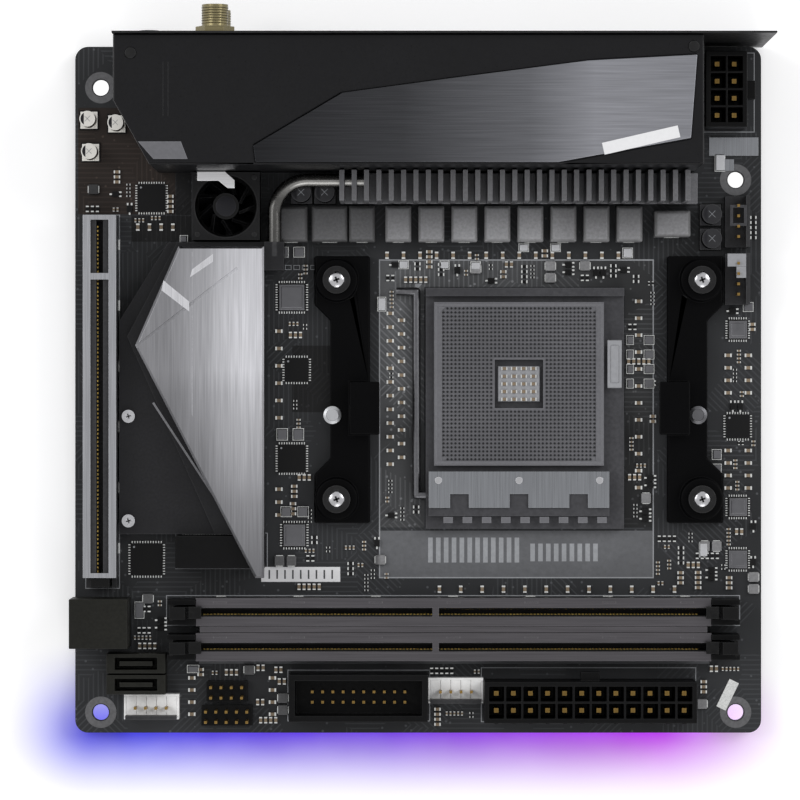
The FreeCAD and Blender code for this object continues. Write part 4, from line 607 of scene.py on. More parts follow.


# Moulded, cast and printed finishes: name, screen colour or setting, metallic, roughness,
# specular, grain per metre, bump, unevenness and edge lightening (wear and painted highlight).
GRAINED = (
    ("plastic", "plastic", 0.0, 0.40, 0.09, 1400.0),
    ("glossy", "glossy", 0.0, 0.22, 0.14, 700.0, 0.05),
    ("grey_plastic", (66, 66, 69), 0.0, 0.46, 0.12, 1200.0),
    ("white_plastic", (252, 252, 252), 0.0, 0.42, 0.4, 1200.0, 0.1, 0.05, 0.0),
    ("shroud", "shroud", 0.0, 0.34, 0.13, 1800.0, 0.12, 0.14, 0.4),
    ("anodised", "anodised", 0.2, 0.40, 0.15, 1600.0, 0.2, 0.2, 0.5),
    ("dark_steel", (22, 22, 23), 0.1, 0.40, 0.2, 1000.0, 0.15, 0.2, 0.6),
    ("bright", (168, 168, 171), 1.0, 0.22, 0.5, 700.0, 0.05, 0.06, 0.4),
    ("dull_gold", (120, 96, 50), 0.9, 0.35, 0.4, 900.0, 0.05, 0.1, 0.3),
    ("gold", "gold", 1.0, 0.26, 0.5, 900.0, 0.05, 0.1, 0.3),
    ("slot_plastic", (52, 52, 54), 0.0, 0.44, 0.12, 1200.0),
    ("epoxy", (17, 17, 18), 0.0, 0.48, 0.12, 2200.0, 0.15, 0.15, 0.3),
    ("sleeve", (30, 30, 34), 0.0, 0.4, 0.15, 1100.0, 0.1, 0.1, 0.2),
    ("pad", (120, 124, 130), 0.0, 0.8, 0.3, 500.0, 0.4, 0.12, 0.0),
    ("film", (26, 27, 29), 0.0, 0.3, 0.2, 300.0, 0.06, 0.1, 0.0),
    ("tin", (196, 197, 196), 0.9, 0.30, 0.5, 2500.0, 0.3, 0.14, 0.0),
    ("print", "print_grey", 0.0, 0.6, 0.3, 1500.0, 0.1, 0.12, 0.0),
    ("dim_print", (70, 71, 74), 0.0, 0.55, 0.3, 900.0, 0.1, 0.15, 0.0),
    ("ceramic", (128, 112, 92), 0.0, 0.5, 0.4, 2500.0, 0.1, 0.2, 0.0),
    ("white_print", (232, 232, 234), 0.0, 0.45, 0.2, 1200.0, 0.05, 0.03, 0.0),
    ("pad_ring", (92, 92, 94), 0.7, 0.36, 0.4, 1500.0, 0.2, 0.2, 0.0),
    ("band_print", (98, 99, 102), 0.0, 0.55, 0.15, 900.0, 0.1, 0.12, 0.0),
    # Dark of holes and recesses: painted shade.
    ("hole_dark", (40, 40, 42), 0.0, 0.6, 0.1, 1500.0, 0.1, 0.1, 0.0),
    ("rim_grey", (106, 106, 110), 0.0, 0.45, 0.15, 1200.0, 0.1, 0.1, 0.3),
    ("bracket", (4, 4, 5), 0.0, 0.42, 0.04, 1400.0),
    ("pale_block", (150, 151, 155), 0.0, 0.5, 0.2, 1200.0, 0.1, 0.08, 0.0),
    ("fan_black", (30, 30, 31), 0.0, 0.40, 0.1, 1400.0),
    ("storage_black", (30, 30, 27), 0.0, 0.42, 0.1, 1400.0),
    ("screw_black", (26, 26, 27), 0.6, 0.32, 0.4, 900.0, 0.1, 0.15, 0.7),
    ("contact", (105, 105, 109), 0.0, 0.5, 0.12, 1400.0, 0.1, 0.12, 0.2),
    ("fins", (102, 102, 105), 0.3, 0.40, 0.3, 1600.0, 0.2, 0.2, 0.5),
)
# Brushed metal: name, screen colour or setting, roughness, stretch, turn and unevenness.
BRUSHED = (
    ("steel", (122, 124, 128), 0.30, ALONG),
    ("silver", "silver", 0.26, ALONG),
    ("armour", "armour", 0.34),
    ("antenna", (120, 112, 84), 0.30, ACROSS),
    ("can", "can", 0.30, CLOUD, 0.0, 0.06),
    ("can_dark", (52, 52, 54), 0.32, CLOUD, 0.0, 0.06),
    # The lever's steel darkened as painted shade.
    ("lever", (92, 92, 95), 0.34, FINE_CLOUD),
    # Lighter copy of the plate metal for the facets: painted highlight.
    ("plate_light", (196, 196, 200), 0.30, ALONG, 60.0),
    ("plate_dim", (150, 150, 154), 0.34),
    # Pale metal of the fan clip, lifted as painted light against the shroud's shadow.
    ("rim_light", (226, 226, 228), 0.34),
    # A lit and a shaded copy of one can metal: painted highlight and painted shade.
    ("bright_can", (172, 173, 176), 0.32, CLOUD, 0.0, 0.06),
    ("grey_can", (92, 92, 95), 0.34, CLOUD, 0.0, 0.08),
    ("insert", (146, 147, 153), 0.36),
    ("plate", (206, 206, 211), 0.34, ALONG),
    ("pipe", (132, 131, 129), 0.24, FINE_CLOUD),
)
# Solder mask, its printed fields, and a dark field of painted shade.
LACQUERED = (
    ("lacquer", "lacquer"), ("audio_print", (38, 32, 29)), ("field_print", (84, 85, 87)),
    ("dark_field", (20, 20, 21)),
)
# Pressed iron of the chokes.
COILS = (("ferrite", (146, 146, 148)), ("choke_cap", (162, 162, 165)))
# How a finish darkens along an axis, mostly as painted light and shade: places in millimetres and
# shares of the full tone.
# Painted shade on the chokes: darker on the left, at the right end and towards the shroud at the
# rear.
CHOKE_SHADE_ACROSS = ((40.0, 0.34), (68.6, 0.34), (69.4, 0.74), (84.0, 0.8), (90.0, 1.0), (108.0, 1.0),
                (116.0, 0.74), (160.0, 0.74))
CHOKE_SHADE_ALONG = ((-39.0, 1.0), (-29.0, 0.5))
SHADES = (
    # Painted reflection: the insert lighter towards the right.
    ("insert", "X", ((36.0, 0.06), (62.0, 0.12), (75.0, 0.15), (90.0, 0.27), (105.0, 0.40),
                     (112.0, 0.56), (121.0, 0.80), (146.0, 0.72))),
    # Painted reflection and shade: the plate lightest towards the right and the rear, darker
    # towards the left and the front tip.
    ("plate", "X", ((9.0, 0.36), (17.9, 0.36), (23.8, 0.52), (26.8, 0.56), (29.7, 0.74),
                    (35.6, 0.95), (41.0, 0.92))),
    ("plate", "Y", ((-121.0, 0.26), (-110.0, 0.34), (-103.0, 0.42), (-97.0, 0.54),
                    (-87.0, 0.68), (-76.0, 0.82), (-70.0, 1.0), (-60.0, 1.0), (-39.0, 0.92))),
    # Painted shade on the pipe's front part.
    ("pipe", "Y", ((-38.0, 0.3), (-28.0, 0.4), (-24.0, 1.0))),
    # The printed field darker towards the right and the front.
    ("field_print", "X", ((68.0, 1.0), (100.0, 0.8), (128.0, 0.36))),
    ("field_print", "Y", ((-112.0, 0.5), (-86.0, 0.55), (-80.0, 1.0))),
    # Painted shade on the chokes and their caps.
    ("ferrite", "X", CHOKE_SHADE_ACROSS), ("ferrite", "Y", CHOKE_SHADE_ALONG),
    ("choke_cap", "X", CHOKE_SHADE_ACROSS), ("choke_cap", "Y", CHOKE_SHADE_ALONG),
)


class MixFinishes(Step):
    """Mix every finish of the board"""

    bl_idname = "board.mix_finishes"
    bl_label = "Mix finishes"

    def make(self):
        mixed = {"glow": glowing("glow", bpy.context.scene.board_glow)}
        for mix, rows in ((grained, GRAINED), (brushed, BRUSHED), (lacquered, LACQUERED)):
            for name, tone, *rest in rows:
                mixed[name] = mix(name, self.tone(tone), *rest)
        for name, tone in COILS:
            mixed[name] = grained(name, linear(*tone), 0.1, 0.50, 0.2, 1500.0, 0.3, 0.2, 0.4)
        for name, letter, stops in SHADES:
            shaded(mixed[name], letter, stops)
        for name, paint in mixed.items():
            FINISHES[name] = paint.material

    def tone(self, tone):
        """The colour of a setting, or a screen colour made linear."""
        if tone == "glossy":
            return darker(self.tones.plastic, 0.8)
        return getattr(self.tones, tone) if isinstance(tone, str) else linear(*tone)


class DressBoard(Step):
    """Give the CAD nodes their finishes and rounded edges"""

    bl_idname = "board.dress"
    bl_label = "Dress the nodes"

    def make(self):
        e = self.detail.edge / MM
        for paint, edge, nodes in (
            ("lacquer", 0.12, "circuit_board"),
            ("shroud", 2 * e, "rear_shroud"),
            ("insert", e, "shroud_insert"),
            ("fins", 0.8 * e, "regulator_heatsink"),
            ("anodised", 1.2 * e, "chipset_heatsink"),
            ("plate", 1.5 * e, "storage_plate"),
            ("silver", 0.1, "expansion_armor"),
            ("armour", 0.12, "memory_rear_armor memory_front_armor"),
            ("plastic", 0.8 * e, "memory_rear_slot memory_front_slot pin_header_bases "
             "drive_connector front_usb_header main_power_connector processor_power_connector "
             "audio_jacks"),
            ("fan_black", 0.8 * e, "chipset_fan_frame"),
            ("storage_black", 0.8 * e, "storage_ports_side storage_ports_upright"),
            ("glossy", e, "expansion_latch memory_rear_latch_left memory_rear_latch_right "
             "memory_front_latch_left memory_front_latch_right chipset_fan_rotor"),
            ("bracket", 2 * e, "cooler_bracket_left cooler_bracket_right"),
            ("bright", 0.6 * e, "heatsink_screws"),
            ("slot_plastic", 0.0, "expansion_slot fan_headers"),
            ("screw_black", 0.8 * e, "bracket_screws"),
            ("grey_plastic", e, "socket_base"),
            ("contact", 0.6 * e, "socket_cover"),
            ("steel", 0.4 * e, "cam_plate"),
            ("lever", 0.4 * e, "socket_lever"),
            ("dark_steel", 0.1, "cooler_backplate rear_shield"),
            ("steel", 0.1, "network_stack usb_stacks usb_c_stack wireless_module "
             "display_port_left display_port_right"),
            ("antenna", 0.08, "antenna_jacks"),
            ("dull_gold", 0.0, "header_pins power_pins"),
            ("pipe", 0.0, "heat_pipe"),
            ("ferrite", 1.2 * e, "chokes"),
            ("can", 0.25, "audio_capacitors"),
            ("can_dark", 0.25, "power_capacitors"),
            ("epoxy", 0.1, "controller_chips power_transistors"),
            ("ceramic", 0.05, "small_parts"),
            ("pad_ring", 0.0, "standoff_pads"),
            ("pad", 0.0, "thermal_pads"),
            ("film", 0.0, "backplate_film"),
            ("can", e, "clock_battery"),
            ("glow", e, "light_strip"),
        ):
            for node in nodes.split():
                dress(paint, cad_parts[node], edge)


class SetStage(Step):
    """Set up the floor, the lamps and the camera"""

    bl_idname = "board.set_stage"
    bl_label = "Set the stage"

    def make(self):
        scene = bpy.context.scene
        scene.view_settings.view_transform = "Standard"
        stage = scene.board_stage
        glow = scene.board_glow
        low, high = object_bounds()
        side = stage.floor_wide / 2
        middle = (low + high) / 2
        mesh = bpy.data.meshes.new("floor")
        corners = [
            (middle.x + i * side, middle.y + j * side, low.z - FLOOR_GAP)
            for i, j in ((-1, -1), (1, -1), (1, 1), (-1, 1))
        ]
        mesh.from_pydata(corners, [], [(0, 1, 2, 3)])
        mesh.update()
        floor = bpy.data.objects.new("floor", mesh)
        scene.collection.objects.link(floor)
        mesh.materials.append(self.floor_finish(stage, glow))
        floor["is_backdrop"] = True
        self.light(scene, stage, middle)
        self.aim(scene, stage, middle)

    def floor_finish(self, stage, glow):
        """Pale floor with the strip's glow painted on it, spreading from the board's front edge.
        """
        paint = Paint("pale_floor", 0.0, 0.85, 0.1)
        low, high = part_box("circuit_board")
        x, y = paint.axis("X"), paint.axis("Y")
        share = paint.slope(x, low.x, high.x)
        tone = paint.ramp(share, ((0.1, glow.left), (0.45, glow.middle), (0.85, glow.right)))
        left = paint.times(paint.sum("SUBTRACT", low.x + 0.004, x), 0.75)
        right = paint.times(paint.sum("SUBTRACT", x, high.x - 0.026), 0.5)
        aside = paint.most(left, right, 0.0)
        behind = paint.times(paint.sum("SUBTRACT", y, low.y), 0.85)
        ahead = paint.most(paint.sum("SUBTRACT", low.y, y), behind)
        squares = [paint.times(way, way) for way in (aside, ahead)]
        reach = paint.sum("SQRT", paint.sum("ADD", *squares))
        spread = paint.slope(reach, glow.reach, -0.15 * glow.reach)
        spread.node.interpolation_type = "SMOOTHSTEP"
        spread = paint.times(spread, paint.slope(paint.noise(60.0), 0.3, 0.7, 0.94, 1.0))
        fleck = paint.slope(paint.noise(3.0), 0.3, 0.7, 0.0, 1.0)
        pale = paint.mix(fleck, darker(stage.floor, 0.985), stage.floor)
        # Painted glow: near the board the floor's colour and its seen brightness take the strip's
        # tone.
        paint.set("Base Color", paint.mix(spread, pale, tone))
        paint.set("Emission Color", paint.mix(spread, (1.0, 1.0, 1.0), tone))
        # Painted light under the mounting holes, on top of the even backdrop.
        level = paint.most(stage.backdrop, self.painted_light_under_holes(paint))
        paint.set("Emission Strength", paint.times(self.seen(paint), level))
        return paint.material

    def painted_light_under_holes(self, paint):
        """Paint light on the floor under the mounting holes, lifting it out of the board's shadow
        to the level of the open floor.
        """
        spots = 0.0
        for low, high in islands_mm("standoff_pads"):
            middle = (low + high) / 2 * MM
            away = paint.node(
                "ShaderNodeVectorMath",
                {0: paint.place, 1: (middle.x, middle.y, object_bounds()[0].z - FLOOR_GAP)},
                operation="DISTANCE",
            ).outputs["Value"]
            spots = paint.most(spots, paint.slope(away, 3.4 * MM, 2.6 * MM))
        return spots

    def seen(self, paint):
        """Whether the camera looks at the surface, or sees it in metal or glass."""
        sight = paint.node("ShaderNodeLightPath")
        kinds = ("Camera", "Glossy", "Transmission")
        return paint.most(*(sight.outputs[f"Is {kind} Ray"] for kind in kinds))

    def light(self, scene, stage, middle):
        """Even light from all round and soft lamps at the sides."""
        world = bpy.data.worlds.new("studio")
        world.use_nodes = True
        scene.world = world
        tree = world.node_tree
        back = tree.nodes["Background"]
        back.inputs["Color"].default_value = (1.0, 1.0, 1.0, 1.0)
        sight = tree.nodes.new("ShaderNodeLightPath")
        level = tree.nodes.new("ShaderNodeMapRange")
        level.inputs["To Min"].default_value = stage.sky
        seen = sight.outputs["Is Camera Ray"]
        for kind in ("Glossy", "Transmission"):
            both = tree.nodes.new("ShaderNodeMath")
            both.operation = "MAXIMUM"
            tree.links.new(seen, both.inputs[0])
            tree.links.new(sight.outputs[f"Is {kind} Ray"], both.inputs[1])
            seen = both.outputs[0]
        tree.links.new(seen, level.inputs["Value"])
        tree.links.new(level.outputs[0], back.inputs["Strength"])
        for name, x, y, share in (
            ("lamp_left", -0.9, 0.35, 1.0),
            ("lamp_right", 0.9, 0.45, 1.15),
            ("lamp_front", 0.15, -1.0, 0.7),
        ):
            lamp = bpy.data.lights.new(name, "AREA")
            lamp.shape = "DISK"
            lamp.size = 0.7
            lamp.energy = stage.lamp * share
            made = bpy.data.objects.new(name, lamp)
            made.location = middle + Vector((x, y, 0.9))
            made.rotation_euler = (middle - made.location).to_track_quat("-Z", "Y").to_euler()
            scene.collection.objects.link(made)

    def aim(self, scene, stage, middle):
        """The camera looks straight down on the board's middle."""
        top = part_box("circuit_board")[1].z
        lens = bpy.data.cameras.new("camera")
        lens.lens = stage.lens
        lens.sensor_width = 36.0
        lens.clip_start = 0.01
        camera = bpy.data.objects.new("camera", lens)
        camera.location = Vector((middle.x, middle.y, top + stage.camera_up)) + CAMERA_SHIFT
        scene.collection.objects.link(camera)
        scene.camera = camera


class PrintBoard(Step):
    """Print the pale field, frames and ticks on the circuit board, and lay dark fields of painted
    shade
    """

    bl_idname = "board.print_board"
    bl_label = "Print on the board"

    def make(self):
        self.high = BOARD_TOP + self.detail.print_thick / MM
        low, high = box_mm("socket_base")
        left, right = low.x - 11.6, high.x + 7.6
        rear, front = high.y + 7.2, low.y - 12.4
        field = Shape()
        for x0, x1, y0, y1 in (
            (left, low.x - 0.4, front + 12.6, rear),
            (high.x + 0.4, right, front + 12.6, rear),
            (low.x - 0.4, high.x + 0.4, high.y + 0.4, rear),
        ):
            self.plate(field, x0, x1, y0, y1)
        field.piece("printed_field", "field_print", "board_lacquer")
        band = Shape()
        self.plate(band, left, right, front, low.y - 0.6)
        band.piece("printed_band", "band_print", "board_lacquer")
        audio = Shape()
        self.plate(audio, -5.6, 18.5, -31.4, -5.0)
        audio.piece("audio_field", "audio_print", "board_lacquer")
        # Dark fields of painted shade beside the fan housing and the left cooler bracket.
        dark = Shape()
        self.plate(dark, 7.6, 22.4, -38.2, -31.8)
        self.plate(dark, 18.7, 22.4, -31.6, -18.0)
        self.plate(dark, 47.5, 57.5, -80.5, -64.0)
        dark.piece("dark_field", "dark_field", "board_lacquer")
        line = Shape()
        self.plate(line, 24.4, 151.0, -142.9, -141.4)
        line.piece("front_band", "band_print", "board_lacquer")
        self.lines(left, right, rear, front)
        self.ticks(low, high, front)

    def plate(self, shape, x0, x1, y0, y1, lift=0.0):
        """A thin printed area."""
        shape.slab(x0, x1, y0, y1, BOARD_TOP, self.high + lift)

    def frame(self, shape, x0, x1, y0, y1, wide):
        """A thin printed outline."""
        shape.border(x0, x1, y0, y1, BOARD_TOP, self.high + 0.02, wide)

    def lines(self, left, right, rear, front):
        """Outlines round the socket, the slots and the connectors."""
        lines = Shape()
        self.frame(lines, left, right, front, rear, 0.3)
        for node, gap in (
            ("memory_rear_slot", 0.7), ("expansion_slot", 0.5), ("main_power_connector", 0.6),
            ("front_usb_header", 0.6), ("processor_power_connector", 0.6),
            ("drive_connector", 0.5),
        ):
            low, high = box_mm(node)
            self.frame(lines, low.x - gap, high.x + gap, low.y - gap, high.y + gap, 0.2)
        for i in range(8):
            self.frame(lines, 43.6 + 2.1 * i, 45.2 + 2.1 * i, -45.2, -44.0, 0.15)
        lines.piece("printed_lines", "print", "board_lacquer")

    def ticks(self, low, high, front):
        """Plain ticks of even height along the band, and a corner mark."""
        marks = Shape()
        x = low.x + 0.6
        for i in range(22):
            if i != 12:
                tall, middle = (6.2, 7.0) if i < 12 else (4.4, 6.4)
                y = front + middle
                self.plate(marks, x, x + 1.15, y - tall / 2, y + tall / 2, 0.02)
            x += 1.95
        marks.piece("printed_ticks", "print", "board_lacquer")
        corner = Shape()
        x, y = low.x - 2.6, high.y + 1.2
        corner.prism([(x, y), (x + 1.8, y), (x, y - 1.8)], BOARD_TOP, self.high + 0.02)
        corner.piece("corner_mark", "print", "board_lacquer")


class ScatterParts(Step):
    """Place chip resistors, capacitors and small transistors on the free board"""

    bl_idname = "board.scatter_parts"
    bl_label = "Small parts"

    zones = (
        (42.5, 59.0, -110.0, -43.0, 5.0),
        (69.5, 80.0, -108.0, -41.0, 6.0),
        (80.0, 131.0, -49.0, -39.6, 5.0),
        (130.5, 138.0, -108.0, -46.0, 2.5),
        (154.5, 163.0, -121.0, -26.0, 5.0),
        (-5.5, 17.0, -32.0, -20.5, 1.5),
        (7.0, 19.0, -37.0, -22.0, 1.5),
        (5.5, 16.5, -143.0, -124.0, 2.0),
        (40.5, 72.0, -125.5, -111.0, 2.5),
        (137.0, 163.0, -125.0, -110.0, 3.0),
        (38.0, 47.0, -158.0, -143.0, 1.2),
        (81.5, 95.0, -158.5, -143.0, 1.5),
        (146.5, 158.0, -158.0, -143.0, 1.5),
        (20.5, 45.0, -146.5, -142.5, 0.8),
    )

    def make(self):
        self.dice = random.Random(self.detail.seed)
        # Parts keep clear of the label, of the painted shade beside the left bracket and of the
        # corner pad.
        self.taken = self.occupied() + [
            LABEL, (49.0, 57.5, -80.5, -64.0), (151.0, 160.0, -155.5, -146.0),
        ]
        self.ends, self.dark, self.tan, self.pale = Shape(), Shape(), Shape(), Shape()
        whole = sum(zone[4] for zone in self.zones)
        for x0, x1, y0, y1, share in self.zones:
            for _ in range(round(self.detail.chip_count * share / whole / 3)):
                self.row(x0, x1, y0, y1)
        self.ends.piece("part_ends", "tin", "silver_metal")
        self.dark.piece("dark_parts", "epoxy", "chip_epoxy", edge=0.05)
        self.tan.piece("tan_parts", "ceramic", "chip_epoxy", edge=0.05)
        self.pale.piece("coil_parts", "ferrite", "ferrite", edge=0.1)

    def occupied(self):
        """Boxes of everything that stands on the board."""
        taken = []
        skip = {"circuit_board", "standoff_pads", "rear_shield", "cooler_backplate"}
        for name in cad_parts:
            low, high = box_mm(name)
            if name in skip or high.z < 0.5 or low.z > 6.0:
                continue
            if name in ("fan_headers", "header_pins", "controller_chips", "power_capacitors",
                        "small_parts", "power_pins", "thermal_pads", "bracket_screws"):
                taken += [(a.x, b.x, a.y, b.y) for a, b in islands_mm(name)]
            else:
                taken.append((low.x, high.x, low.y, high.y))
        return taken

    def free(self, x0, x1, y0, y1):
        """Whether nothing stands in a rectangle."""
        gap = 0.25
        return not any(
            x0 - gap < b and x1 + gap > a and y0 - gap < d and y1 + gap > c
            for a, b, c, d in self.taken
        )

    def row(self, x0, x1, y0, y1):
        """A short row of like parts, side by side."""
        kind = self.dice.choice(("dark", "dark", "tan", "tan", "tan", "leg", "coil"))
        long, wide, tall = {
            "dark": (1.6, 0.8, 0.45), "tan": (1.6, 0.8, 0.8), "leg": (2.9, 1.4, 1.0),
            "coil": (2.5, 2.5, 1.2),
        }[kind]
        if kind in ("dark", "tan") and self.dice.random() < SMALL_SHARE:
            long, wide, tall = 1.0, 0.5, tall * 0.7
        count = self.dice.randint(2, 5) if kind in ("dark", "tan") else self.dice.randint(1, 2)
        pitch = wide + 0.45
        across = self.dice.random() < 0.5
        run = pitch * count
        for _ in range(TRIES):
            x = self.dice.uniform(x0 + 1, x1 - 1)
            y = self.dice.uniform(y0 + 1, y1 - 1)
            half = (run / 2, long / 2) if across else (long / 2, run / 2)
            box = (x - half[0], x + half[0], y - half[1], y + half[1])
            if self.free(*box):
                break
        else:
            return
        self.taken.append(box)
        for i in range(count):
            step = (i - (count - 1) / 2) * pitch
            px, py = (x + step, y) if across else (x, y + step)
            self.part(kind, px, py, long, wide, tall, across)

    def part(self, kind, x, y, long, wide, tall, across):
        """One part with its soldered ends or legs."""
        turn = 90.0 if across else 0.0
        c, s = (0.0, 1.0) if across else (1.0, 0.0)
        top = BOARD_TOP + tall
        if kind in ("dark", "tan"):
            end = long * 0.22
            body = self.dark if kind == "dark" else self.tan
            body.block(x, y, BOARD_TOP, long - 2 * end, wide * 0.94, top - 0.02, turn)
            for side in (-1, 1):
                dx, dy = side * (long - end) / 2 * c, side * (long - end) / 2 * s
                self.ends.block(x + dx, y + dy, BOARD_TOP, end, wide, top, turn, 0.04)
        elif kind == "leg":
            self.dark.block(x, y, BOARD_TOP + 0.1, long * 0.62, wide, top, turn, 0.08)
            for side, slots in ((-1, (0.0,)), (1, (-0.32, 0.32))):
                for slot in slots:
                    a, b = side * long * 0.4, slot * wide * 1.1
                    self.ends.block(
                        x + a * c - b * s, y + a * s + b * c, BOARD_TOP, long * 0.22, 0.4,
                        BOARD_TOP + 0.25, turn,
                    )
        else:
            self.pale.block(x, y, BOARD_TOP, long, wide, top, turn, 0.12)
            for side in (-1, 1):
                shift = side * (long / 2 - 0.02)
                self.ends.block(
                    x + shift * c, y + shift * s, BOARD_TOP, 0.35, wide * 0.7,
                    BOARD_TOP + 0.4, turn,
                )


class FitSocket(Step):
    """Contact holes as dark discs of painted shade, pale middle, rails and marks of the processor
    socket
    """

    bl_idname = "board.fit_socket"
    bl_label = "Socket detail"

    def make(self):
        low, high = box_mm("socket_cover")
        cx, cy = centre(low, high)
        top = high.z
        holes, rims = Shape(), Shape()
        for i in range(-HOLE_ROWS, HOLE_ROWS + 1):
            for j in range(-HOLE_ROWS, HOLE_ROWS + 1):
                corner = abs(i) == abs(j) == HOLE_ROWS
                x, y = cx + i * HOLE_PITCH, cy + j * HOLE_PITCH
                if corner or max(abs(i), abs(j)) < WINDOW_ROWS:
                    continue
                if low.x + 1.2 <= x <= high.x - 1.2:
                    # Dark discs painted as the shade inside the contact holes.
                    holes.turned((x, y, top), ((0.30, 0.0), (0.26, 0.012)), 8)
        holes.piece("contact_holes", "hole_dark", "grey_plastic", body="cover")
        rims.border(low.x + 0.3, high.x - 0.3, low.y + 0.5, high.y - 0.5, top, top + 0.05, 0.5)
        x, y = low.x + 2.2, high.y - 2.2
        rims.prism([(x - 1, y + 1), (x + 0.6, y + 1), (x - 1, y - 0.6)], top, top + 0.05)
        rims.piece("cover_rails", "rim_grey", "grey_plastic", body="cover")
        self.middle(cx, cy)
        self.seat()

    def middle(self, cx, cy):
        """Pale block with capacitors in the socket's window."""
        low = box_mm("socket_base")[0].z
        floor = self.window_floor(cx, cy, low)
        block, caps, ends = Shape(), Shape(), Shape()
        block.block(cx, cy, floor, 10.6, 8.9, floor + 0.9, 0.0, 0.25)
        for i in range(4):
            for j in range(5):
                x, y = cx - 3.6 + i * 2.4, cy - 3.8 + j * 1.9
                caps.block(x, y, floor + 0.9, 0.9, 0.8, floor + 1.4, 0.0, 0.05)
                for side in (-1, 1):
                    ends.block(x + side * 0.6, y, floor + 0.9, 0.3, 0.8, floor + 1.42)
        block.piece("socket_middle", "pale_block", "grey_plastic", edge=0.15)
        caps.piece("middle_capacitors", "ceramic", "chip_epoxy", edge=0.05)
        ends.piece("middle_capacitor_ends", "tin", "silver_metal")

    def window_floor(self, cx, cy, low):
        """Height of the highest face under the window, in millimetres."""
        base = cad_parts["socket_base"]
        start = Vector((cx, cy, 60.0)) * MM
        hit, spot, _, _ = base.ray_cast(start, Vector((0, 0, -1)))
        return spot.z / MM if hit else low

    def seat(self):
        """Ribs along the front of the base, rivets on the cam plate and the lever's box."""
        low, high = box_mm("socket_base")
        plate_low, plate_high = box_mm("cam_plate")
        ribs = Shape()
        for x in spaced(low.x, high.x, 5.5, 9):
            ribs.block(x, low.y + 2.2, high.z, 2.4, 1.6, high.z + 0.12, 0.0, 0.1)
        ribs.piece("seat_ribs", "rim_grey", "grey_plastic", edge=0.08)
        rivets = Shape()
        middle = (plate_low.x + plate_high.x) / 2
        for x in (plate_low.x + 2.4, plate_high.x - 2.4, middle):
            spot = (x, plate_high.y - 2.2, plate_high.z)
            rivets.turned(spot, ((1.0, 0.0), (0.9, 0.18), (0.3, 0.2)), 20)
        rivets.piece("cam_rivets", "bright", "steel", smooth=True)
        box = Shape()
        box.block(high.x - 2.4, -68.6, high.z, 3.6, 12.0, high.z + 0.5, 0.0, 0.2)
        box.block(high.x - 2.4, -68.6, high.z + 0.5, 2.0, 9.4, high.z + 0.8, 0.0, 0.15)
        box.piece("lever_box", "pale_block", "grey_plastic", edge=0.15)


